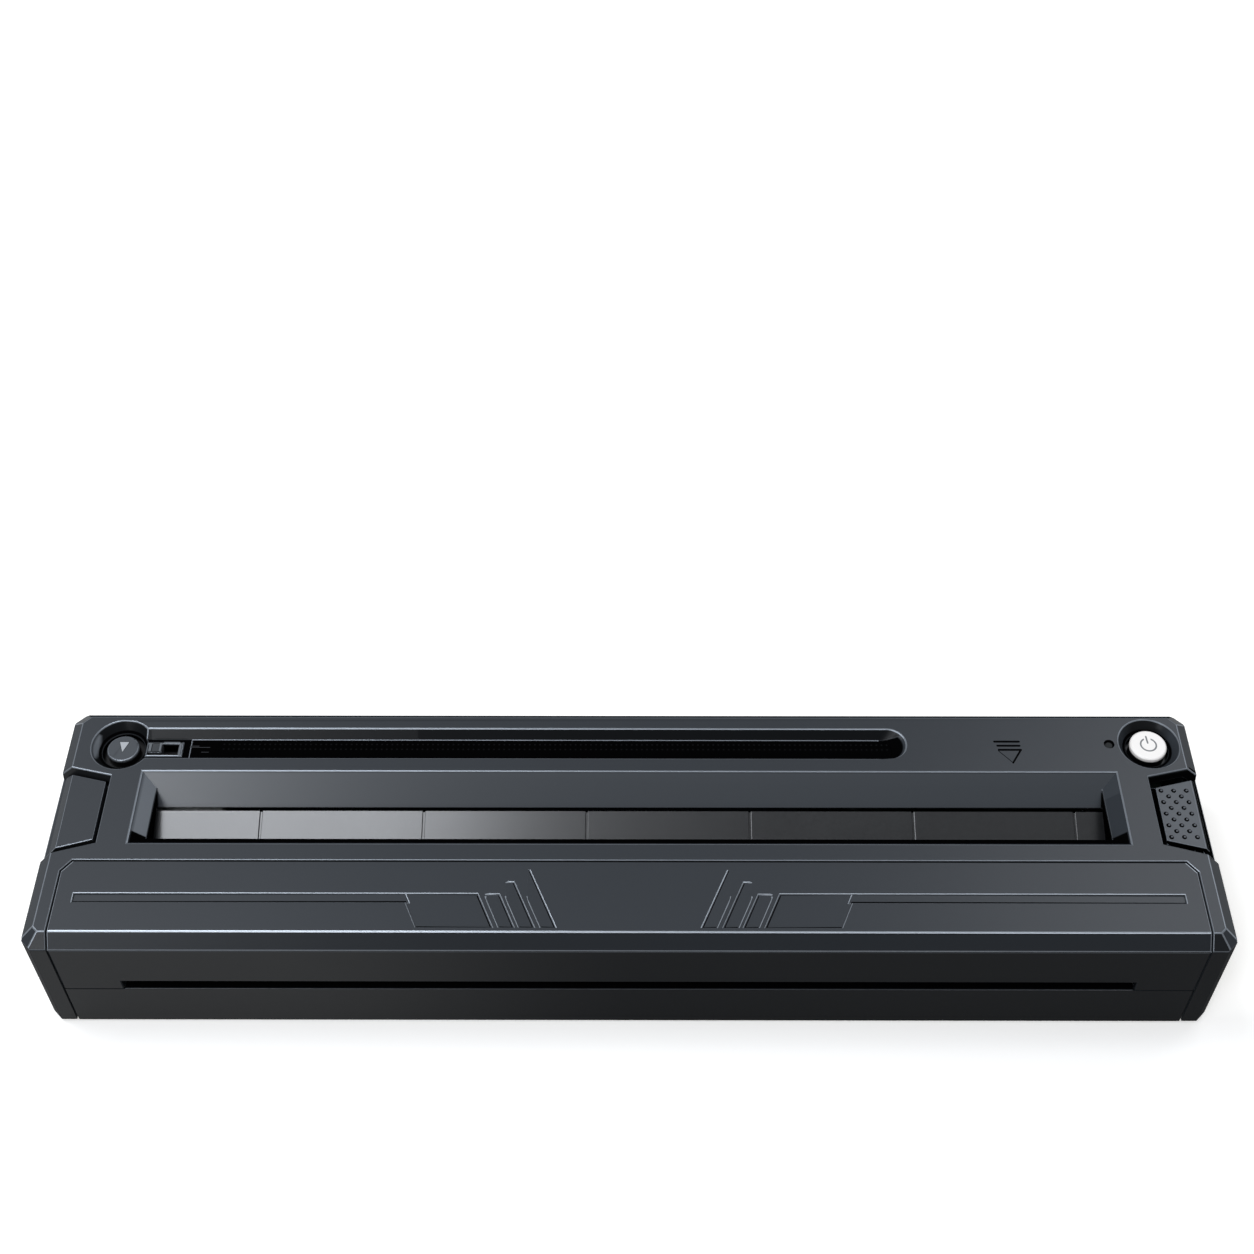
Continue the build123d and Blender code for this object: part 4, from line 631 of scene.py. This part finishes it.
def paintedCreaseShade(s):
    def leaning(x, y):
        # the bars lean outwards to the back
        return (side * (x + s["lean"] * (y - s["front"])), y)

    foot = s["front"] + s["footUp"]
    creases = []
    for side in (-1, 1):
        for inner, back in s["bars"]:
            near, far = inner + s["inset"], inner + s["barWide"] - s["farInset"]
            creases.append((leaning(near, foot), leaning(far, foot), s["footHalf"]))
            creases.append((leaning(near, foot), leaning(near, back - s["farInset"]), s["sideHalf"]))
        near, far = s["plaque"][0] + s["inset"], s["plaque"][1] - s["inset"]
        creases.append((leaning(near, foot), leaning(far, foot), s["footHalf"]))
        creases.append((leaning(near, foot), leaning(near, s["plaqueBack"]), s["footHalf"]))
        start, end = s["groove"]
        creases.append(((side * start, s["grooveY"]), (side * end, s["grooveY"]), s["grooveHalf"]))
    return creases


def slateMaterial(name, s, dark=(), satin=(), marksAndCreaseShade=(), shaded=(), lit=()):
    # moulded slate plastic: satin on top, duller on the front and back; painted shade darkens the front faces
    # and the shaded boxes, and turns the recesses, holes and creases near black; lit boxes get painted light
    material, tree, shader = newMaterial(name)
    effect = placeGrain(tree, s["colour"], s["grain"], s["drift"], s["rough"], s["depth"])
    coverShader(tree, shader, effect)
    front = faceMask(tree, (0.0, -1.0, 0.0), s["frontLimits"])
    back = faceMask(tree, (0.0, 1.0, 0.0), s["backLimits"])
    # painted shade: faces turned to the front are drawn darker
    colour = tint(tree, effect.outputs["Colour"], front, s["paintedFrontShade"])
    shine = mathNode(tree, "MULTIPLY", mathNode(tree, "SUBTRACT", 1.0, front), s["topShine"])
    if satin:
        satinMask = boxMasks(tree, satin)
        shine = mathNode(tree, "MAXIMUM", shine, satinMask)
        colour = tint(tree, colour, satinMask, s["satinColour"])
    # painted light: the front faces' gloss fades from left to right, standing in for light that falls off to
    # the right
    frontShine = fadeAlong(tree, "X", s["frontShineX"], s["frontShine"])
    shine = mathNode(tree, "MULTIPLY_ADD", front, frontShine, shine)
    shine = dulled(tree, shine, back)
    for way in (-1.0, 1.0):
        shine = dulled(tree, shine, faceMask(tree, (way, 0.0, 0.0), s["endLimits"]), s["endLoss"])
    if shaded:
        shadedMask = boxMasks(tree, shaded)
        colour = tint(tree, colour, shadedMask, s["shadedColour"])
        shine = dulled(tree, shine, shadedMask, s["shadedLoss"])
    if lit:
        litMask = boxMasks(tree, lit, s["litSoft"])
        litMask = mathNode(tree, "MULTIPLY", faceMask(tree, (1.0, 0.0, 0.0), s["litLimits"]), litMask)
        colour = tint(tree, colour, litMask, s["litColour"])
    # painted shade: the dark boxes and the crease strokes turn near black and lose their gloss; the sign
    # beside the channel is drawn dark with them
    shadeAndMarks = []
    if dark:
        shadeAndMarks.append(boxMasks(tree, dark))
    if marksAndCreaseShade:
        shadeAndMarks.append(strokeMasks(tree, marksAndCreaseShade))
    if shadeAndMarks:
        shadeAndMarkMask = joinMasks(tree, shadeAndMarks)
        colour = tint(tree, colour, shadeAndMarkMask, s["darkColour"])
        shine = dulled(tree, shine, shadeAndMarkMask)
    tree.links.new(colour, shader.inputs["Base Color"])
    tree.links.new(shine, shader.inputs["Coat Weight"])
    shader.inputs["Specular IOR Level"].default_value = s["specular"]
    shader.inputs["Coat Roughness"].default_value = s["coatRough"]
    return material


edgeFinish = {
    # painted highlight: pale colours draw a bright line along edges that look up; being partly metallic they
    # also reflect the lamps
    "colour": (0.20, 0.218, 0.24),
    "coverColour": (0.30, 0.325, 0.355),
    "lowColour": (0.016, 0.0175, 0.019),
    "metallic": 0.6,
    "rough": (0.28, 0.36),
    "backLimits": (0.1, 0.5),
    "upLimits": (0.35, 0.8),
    # painted shade: edges in the dish floors stay dark
    "dark": (dishBox(feedCap, 29.0, 32.5), dishBox(powerCap, 29.0, 32.5)),
}


def edgeMaterial(name, colour, s):
    # moulded edges with a painted highlight: pale and partly metallic where they look up, slate at the back
    # and below, and painted shade in the dish floors
    material = metalMaterial(name, colour, rough=s["rough"])
    tree = material.node_tree
    shader = tree.nodes["Principled BSDF"]
    paintedEdgeHighlight = faceMask(tree, (0.0, 0.0, 1.0), s["upLimits"])
    paintedEdgeHighlight = dulled(tree, paintedEdgeHighlight, faceMask(tree, (0.0, 1.0, 0.0), s["backLimits"]))
    paintedEdgeHighlight = dulled(tree, paintedEdgeHighlight, boxMasks(tree, s["dark"]))
    tintShader(tree, shader, mathNode(tree, "SUBTRACT", 1.0, paintedEdgeHighlight), s["lowColour"])
    tree.links.new(mathNode(tree, "MULTIPLY", paintedEdgeHighlight, s["metallic"]), shader.inputs["Metallic"])
    shader.inputs["Specular IOR Level"].default_value = 0.0
    return material


ventSettings = {
    # partly the strip's own dark plastic, partly painted shade of the channel
    "colour": (0.0012, 0.0012, 0.0013),
    "dotColour": (0.0055, 0.0055, 0.006),
    "dotPitch": 1.2,
    "dotRows": (21.7, 23.1),
    "dotRadius": 0.22,
    "dotted": ((-96.0, 17.0, 30.0), (61.0, 26.0, 35.0)),
    "rough": (0.6, 0.75),
}


def ventMaterial(name, s):
    # near-black strip with two rows of fine dots along X; the black is partly the strip's own plastic and
    # partly painted shade of the channel it lies in
    material = grainMaterial(name, s["colour"], rough=s["rough"], specular=0.0)
    tree = material.node_tree
    shader = tree.nodes["Principled BSDF"]
    spot = tree.nodes.new("ShaderNodeTexCoord")
    split = tree.nodes.new("ShaderNodeSeparateXYZ")
    tree.links.new(spot.outputs["Object"], split.inputs[0])
    inPitch = mathNode(tree, "FRACT", mathNode(tree, "DIVIDE", split.outputs[0], s["dotPitch"] * mm))
    alongX = mathNode(tree, "MULTIPLY", mathNode(tree, "SUBTRACT", inPitch, 0.5), s["dotPitch"] * mm)
    rows = []
    for row in s["dotRows"]:
        alongY = mathNode(tree, "SUBTRACT", split.outputs[1], row * mm)
        squared = mathNode(tree, "MULTIPLY_ADD", alongX, alongX, mathNode(tree, "MULTIPLY", alongY, alongY))
        rows.append(mathNode(tree, "LESS_THAN", squared, (s["dotRadius"] * mm) ** 2))
    dots = mathNode(tree, "MULTIPLY", joinMasks(tree, rows), boxMasks(tree, (s["dotted"],)))
    tintShader(tree, shader, dots, s["dotColour"])
    return material


def paintFootShade(material, cap):
    # painted shade: the foot of a cap, in the gap round it, turns near black
    foot = boxMasks(material.node_tree, (dishBox(cap, 28.0, cap["footTop"]),))
    shader = material.node_tree.nodes["Principled BSDF"]
    tintShader(material.node_tree, shader, foot, slateSettings["darkColour"])
    return material


powerMarkSettings = {
    "capColour": (0.84, 0.808, 0.77),
    "radius": 1.8,
    "halfWidth": 0.19,
    "gap": ((120.9, 23.0, 33.6), (122.5, 25.0, 34.3)),
    "gapSoft": 0.05,
    "bar": ((121.6, 22.6), (121.5, 24.5)),
    "colour": (0.15, 0.155, 0.16),
}


def powerCapMaterial(name, s):
    # white cap with the printed sign for power: a broken ring and a short bar
    material = grainMaterial(name, s["capColour"], grain=2000.0, drift=0.03, rough=(0.3, 0.38), depth=0.05)
    tree = material.node_tree
    centre = inMetres((*powerCap["centre"], powerCap["top"]))
    half = s["halfWidth"]
    ring = place(tree, "ring", Centre=centre, Radius=s["radius"] * mm, Half_width=half * mm).outputs[0]
    ring = dulled(tree, ring, boxMasks(tree, (s["gap"],), s["gapSoft"]))
    mark = joinMasks(tree, [ring, strokeMasks(tree, ((*s["bar"], half),))])
    tintShader(tree, tree.nodes["Principled BSDF"], mark, s["colour"])
    return material


guideLook = {"grain": 1500.0, "drift": 0.4, "rough": (0.28, 0.38), "depth": 0.3}
guideGloss = {"specular": 0.35, "coat": 1.0, "coatRough": 0.2}
# painted shade in the exit slot, in the cover's creases and on its front bevel
coverMasks = {"dark": exitSlot, "marksAndCreaseShade": paintedCreaseShade(creaseShadeSettings), "shaded": frontBevel}

# name: colour, and what differs from plain moulded plastic
plastics = {
    "darkPlastic": ((0.008, 0.0085, 0.0095), {"specular": 0.25}),
    "guideSatin": ((0.006, 0.0066, 0.0075), {**guideLook, **guideGloss}),
    "greyCap": ((0.052, 0.058, 0.065), {"rough": (0.34, 0.42), "specular": 0.4}),
    "knobGrey": ((0.030, 0.034, 0.038), {"rough": (0.35, 0.45)}),
    "rubber": ((0.012, 0.012, 0.013), {"rough": (0.7, 0.85), "depth": 0.4}),
    "gearPlastic": ((0.66, 0.65, 0.60), {"drift": 0.05, "rough": (0.35, 0.45)}),
    "boardBlack": ((0.006, 0.010, 0.008), {"grain": 900.0, "drift": 0.3, "rough": (0.3, 0.4), "depth": 0.1}),
    "cellWrap": ((0.008, 0.009, 0.011), {"drift": 0.06, "rough": (0.22, 0.3), "depth": 0.05}),
    "switchBlack": ((0.010, 0.010, 0.011), {"rough": (0.4, 0.5)}),
    "cableFilm": ((0.42, 0.22, 0.05), {"drift": 0.1, "rough": (0.3, 0.4), "depth": 0.05}),
    "ceramic": ((0.72, 0.71, 0.66), {"grain": 4000.0, "drift": 0.04, "rough": (0.2, 0.3), "depth": 0.05}),
    "lensPlastic": (
        (0.02, 0.022, 0.022),
        {"drift": 0.03, "rough": (0.4, 0.5), "depth": 0.02, "specular": 0.15},
    ),
    "printBlack": ((0.003, 0.003, 0.003), {"rough": (0.45, 0.55), "specular": 0.2}),
    # painted highlight: pale grey for the switch knob's ribs and the frame's edge
    "paintedHighlightGrey": ((0.11, 0.12, 0.13), {"rough": (0.35, 0.45), "specular": 0.4}),
    "faintGrey": ((0.035, 0.037, 0.04), {"rough": (0.5, 0.6), "specular": 0.1}),
    "printGrey": ((0.36, 0.375, 0.39), {"rough": (0.45, 0.55), "specular": 0.3}),
}

# name: colour, roughness from and to
metals = {
    "steel": ((0.52, 0.53, 0.54), (0.22, 0.42)),
    "zincCan": ((0.46, 0.46, 0.45), (0.3, 0.5)),
    "aluminium": ((0.66, 0.67, 0.68), (0.3, 0.45)),
    "brass": ((0.60, 0.42, 0.16), (0.25, 0.4)),
}

finishes = {
    "caseSlate": slateMaterial("caseSlate", slateSettings, **housingSettings),
    "coverSlate": slateMaterial("coverSlate", coverSettings, **coverMasks),
    "traySlate": slateMaterial("traySlate", slateSettings, dark=exitSlot),
    "plainSlate": slateMaterial("plainSlate", slateSettings),
    "padSlate": slateMaterial("padSlate", padSettings, dark=gripPits),
    "edgeSheen": edgeMaterial("edgeSheen", edgeFinish["colour"], edgeFinish),
    "coverEdge": edgeMaterial("coverEdge", edgeFinish["coverColour"], edgeFinish),
    "ventBlack": ventMaterial("ventBlack", ventSettings),
    "whiteCap": paintFootShade(powerCapMaterial("whiteCap", powerMarkSettings), powerCap),
}
for name, (colour, changes) in plastics.items():
    finishes[name] = grainMaterial(name, colour, **changes)
for name, (colour, rough) in metals.items():
    finishes[name] = metalMaterial(name, colour, rough=rough)
paintFootShade(finishes["greyCap"], feedCap)
print("finishes ready")

nodeFinish = {
    "top_housing": "caseSlate",
    "base_tray": "traySlate",
    "front_cover": "coverSlate",
    "left_inlay": "plainSlate",
    "latch_pad": "padSlate",
    "power_button": "whiteCap",
    "feed_button": "greyCap",
    "switch_bezel": "darkPlastic",
    "switch_knob": "knobGrey",
    "vent_strip": "ventBlack",
    "led_lens": "lensPlastic",
    "paper_guide": "guideSatin",
    "throat_guide": "darkPlastic",
    "cover_guide": "darkPlastic",
    "rubber_feet": "rubber",
    "platen_rubber": "rubber",
    "base_screws": "steel",
    "usb_socket": "steel",
    "side_frame_left": "steel",
    "side_frame_right": "steel",
    "platen_shaft": "steel",
    "hinge_pins": "steel",
    "head_pivot_pins": "steel",
    "head_springs": "steel",
    "idler_axle": "steel",
    "reduction_axle": "steel",
    "motor_shaft": "steel",
    "board_screws": "steel",
    "latch_hook": "steel",
    "latch_spring": "steel",
    "cover_catch": "steel",
    "catch_striker": "steel",
    "catch_rivets": "steel",
    "platen_gear": "gearPlastic",
    "idler_gear": "gearPlastic",
    "reduction_gear": "gearPlastic",
    "platen_bushes": "brass",
    "motor_pinion": "brass",
    "print_head": "ceramic",
    "head_sink": "aluminium",
    "head_ribbon": "cableFilm",
    "motor_body": "zincCan",
    "battery_cells": "cellWrap",
    "main_board": "boardBlack",
    "key_board_left": "boardBlack",
    "key_board_right": "boardBlack",
    "tact_switches": "switchBlack",
    "slide_switch_body": "switchBlack",
}


def dressNodes(table):
    for node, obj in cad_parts.items():
        for slot in obj.material_slots:
            slot.link = "OBJECT"
            slot.material = finishes[table[node]]


dressNodes(nodeFinish)
print("nodes dressed")


# moulded edges
edgeSettings = {
    "minAngleDeg": 28.0,
    "weld": 0.003,
    # node: width of the rounding, shortest edge that gets it, finish of the rounding
    "nodes": {
        "top_housing": (0.22, 0.5, "edgeSheen"),
        "front_cover": (0.24, 0.5, "coverEdge"),
        "base_tray": (0.12, 0.5, None),
        "left_inlay": (0.18, 0.5, "edgeSheen"),
        "latch_pad": (0.16, 0.5, "edgeSheen"),
        "paper_guide": (0.10, 0.3, None),
        "switch_bezel": (0.12, 0.3, "edgeSheen"),
        "switch_knob": (0.10, 0.3, "edgeSheen"),
        "power_button": (0.14, 0.2, None),
        "feed_button": (0.12, 0.2, "edgeSheen"),
    },
}


def isGreater(group, value, limit):
    node = group.nodes.new("FunctionNodeCompare")
    node.data_type = "FLOAT"
    node.operation = "GREATER_THAN"
    group.links.new(value, node.inputs[0])
    if isinstance(limit, float):
        node.inputs[1].default_value = limit
    else:
        group.links.new(limit, node.inputs[1])
    return node.outputs[0]


def logicNode(group, operation, first, second):
    node = group.nodes.new("FunctionNodeBooleanMath")
    node.operation = operation
    group.links.new(first, node.inputs[0])
    group.links.new(second, node.inputs[1])
    return node.outputs[0]


def buildOutsideEdges(minAngleDeg):
    # weighs the long edges that stick out for the bevel that follows, and keeps the other sharp ones crisp
    group = bpy.data.node_groups.new("outsideEdges", "GeometryNodeTree")
    group.interface.new_socket(name="Geometry", in_out="INPUT", socket_type="NodeSocketGeometry")
    shortest = group.interface.new_socket(name="Shortest edge", in_out="INPUT", socket_type="NodeSocketFloat")
    group.interface.new_socket(name="Geometry", in_out="OUTPUT", socket_type="NodeSocketGeometry")
    given = group.nodes.new("NodeGroupInput")
    out = group.nodes.new("NodeGroupOutput")
    angle = group.nodes.new("GeometryNodeInputMeshEdgeAngle")
    ends = group.nodes.new("GeometryNodeInputMeshEdgeVertices")
    length = group.nodes.new("ShaderNodeVectorMath")
    length.operation = "DISTANCE"
    group.links.new(ends.outputs["Position 1"], length.inputs[0])
    group.links.new(ends.outputs["Position 2"], length.inputs[1])
    sticksOut = isGreater(group, angle.outputs["Signed Angle"], math.radians(minAngleDeg))
    isLong = isGreater(group, length.outputs["Value"], given.outputs["Shortest edge"])
    rounded = logicNode(group, "AND", sticksOut, isLong)
    isSharp = isGreater(group, angle.outputs["Unsigned Angle"], math.radians(minAngleDeg))
    crisp = group.nodes.new("GeometryNodeSetShadeSmooth")
    crisp.domain = "EDGE"
    crisp.inputs["Shade Smooth"].default_value = False
    group.links.new(given.outputs["Geometry"], crisp.inputs["Geometry"])
    group.links.new(logicNode(group, "NIMPLY", isSharp, rounded), crisp.inputs["Selection"])
    weigh = group.nodes.new("GeometryNodeStoreNamedAttribute")
    weigh.data_type = "FLOAT"
    weigh.domain = "EDGE"
    weigh.inputs["Name"].default_value = "bevel_weight_edge"
    group.links.new(crisp.outputs[0], weigh.inputs["Geometry"])
    group.links.new(rounded, weigh.inputs["Value"])
    group.links.new(weigh.outputs[0], out.inputs[0])
    return group, shortest.identifier


def roundEdges(s):
    picker, shortest = buildOutsideEdges(s["minAngleDeg"])
    for node, (width, minLength, finish) in s["nodes"].items():
        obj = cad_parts[node]
        weld = obj.modifiers.new("joinCorners", "WELD")
        weld.merge_threshold = s["weld"] * mm
        pick = obj.modifiers.new("pickEdges", "NODES")
        pick.node_group = picker
        pick[shortest] = minLength * mm
        bevel = obj.modifiers.new("mouldRadius", "BEVEL")
        bevel.width = width * mm
        bevel.segments = 2
        bevel.limit_method = "WEIGHT"
        bevel.use_clamp_overlap = False
        even = obj.modifiers.new("evenShade", "WEIGHTED_NORMAL")
        even.keep_sharp = True
        if finish:
            obj.data.materials.append(finishes[finish])
            bevel.material = len(obj.material_slots) - 1


roundEdges(edgeSettings)
print("moulded edges rounded")


# small raised marks
def flatPiece(name, faces, low, high, body, finish):
    # thin prisms, each drawn as a ring of points, from height low to height high
    shape = bmesh.new()
    for ring in faces:
        lower = [shape.verts.new((x * mm, y * mm, low * mm)) for x, y in ring]
        upper = [shape.verts.new((x * mm, y * mm, high * mm)) for x, y in ring]
        shape.faces.new(upper)
        shape.faces.new(list(reversed(lower)))
        for i in range(len(ring)):
            j = (i + 1) % len(ring)
            shape.faces.new((lower[i], lower[j], upper[j], upper[i]))
    bmesh.ops.recalc_face_normals(shape, faces=shape.faces)
    mesh = bpy.data.meshes.new(name)
    shape.to_mesh(mesh)
    shape.free()
    mesh.materials.append(finishes[finish])
    piece = bpy.data.objects.new(name, mesh)
    bpy.context.scene.collection.objects.link(piece)
    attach(piece, body)
    return piece


feedMark = {
    "corners": ((-119.95, 23.3), (-117.75, 23.3), (-118.9, 20.4)),
    "round": 0.15,
    "proud": 0.06,
    "rimWide": 0.18,
    "rimRound": 0.25,
    "rimProud": 0.03,
    "sunk": 0.1,
}


def roundedCorners(corners, radius, steps=5):
    ring = []
    count = len(corners)
    for i in range(count):
        here = Vector(corners[i])
        before = (Vector(corners[i - 1]) - here).normalized()
        after = (Vector(corners[(i + 1) % count]) - here).normalized()
        start, end = here + before * radius, here + after * radius
        for k in range(steps):
            t = k / (steps - 1)
            ring.append(tuple(start * (1 - t) ** 2 + here * 2 * t * (1 - t) + end * t**2))
    return ring


def addFeedMark(s):
    # pale triangle on the feed cap, on a slightly larger dark one
    middle = Vector([sum(values) / len(values) for values in zip(*s["corners"])])
    outer = []
    for corner in s["corners"]:
        away = (Vector(corner) - middle).normalized()
        outer.append(tuple(Vector(corner) + away * s["rimWide"]))
    low, top = feedCap["top"] - s["sunk"], feedCap["top"]
    rim, mark = roundedCorners(outer, s["rimRound"]), roundedCorners(s["corners"], s["round"])
    flatPiece("feedMarkRim", [rim], low, top + s["rimProud"], "feed_key", "printBlack")
    flatPiece("feedMark", [mark], low, top + s["proud"], "feed_key", "printGrey")


addFeedMark(feedMark)


switchHighlights = {
    "knobTop": 33.6,
    "knobSunk": 0.3,
    "knobRibs": ((-112.55, -111.95), (-110.1, -109.65)),
    "ribProud": 0.25,
    "knobSlab": (-111.8, -110.2),
    "slabProud": 0.12,
    "knobY": (19.95, 22.25),
    "bezelTop": 33.1,
    "bezelSunk": 0.2,
    "rimProud": 0.12,
    "rimSide": ((-105.6, -105.15), (19.15, 23.05)),
    "rimBack": ((-109.4, -105.15), (22.75, 23.05)),
}


def rectangle(xs, ys):
    return [(xs[0], ys[0]), (xs[1], ys[0]), (xs[1], ys[1]), (xs[0], ys[1])]


def addSwitchHighlights(s):
    # raised ribs on the sliding knob and a raised L on the frame beside its window, their pale grey a painted
    # highlight
    top = s["knobTop"]
    low = top - s["knobSunk"]
    ribs = [rectangle(xs, s["knobY"]) for xs in s["knobRibs"]]
    slab = [rectangle(s["knobSlab"], s["knobY"])]
    flatPiece("knobRibs", ribs, low, top + s["ribProud"], "switch_slider", "paintedHighlightGrey")
    flatPiece("knobSlab", slab, low, top + s["slabProud"], "switch_slider", "knobGrey")
    top = s["bezelTop"]
    rim = [rectangle(*s["rimSide"]), rectangle(*s["rimBack"])]
    flatPiece("bezelRim", rim, top - s["bezelSunk"], top + s["rimProud"], "case", "paintedHighlightGrey")


addSwitchHighlights(switchHighlights)


stripMarks = {
    "top": 32.3,
    "sunk": 0.1,
    "proud": 0.03,
    "dashes": (
        ((-103.4, -101.2), (22.45, 22.6)),
        ((-103.4, -98.6), (22.1, 22.22)),
        ((-100.5, -98.7), (20.7, 20.82)),
    ),
}


def addStripMarks(s):
    # faint dashes beside the switch
    low, high = s["top"] - s["sunk"], s["top"] + s["proud"]
    dashes = [rectangle(xs, ys) for xs, ys in s["dashes"]]
    flatPiece("stripMarks", dashes, low, high, "case", "faintGrey")


addStripMarks(stripMarks)
print("small marks added")
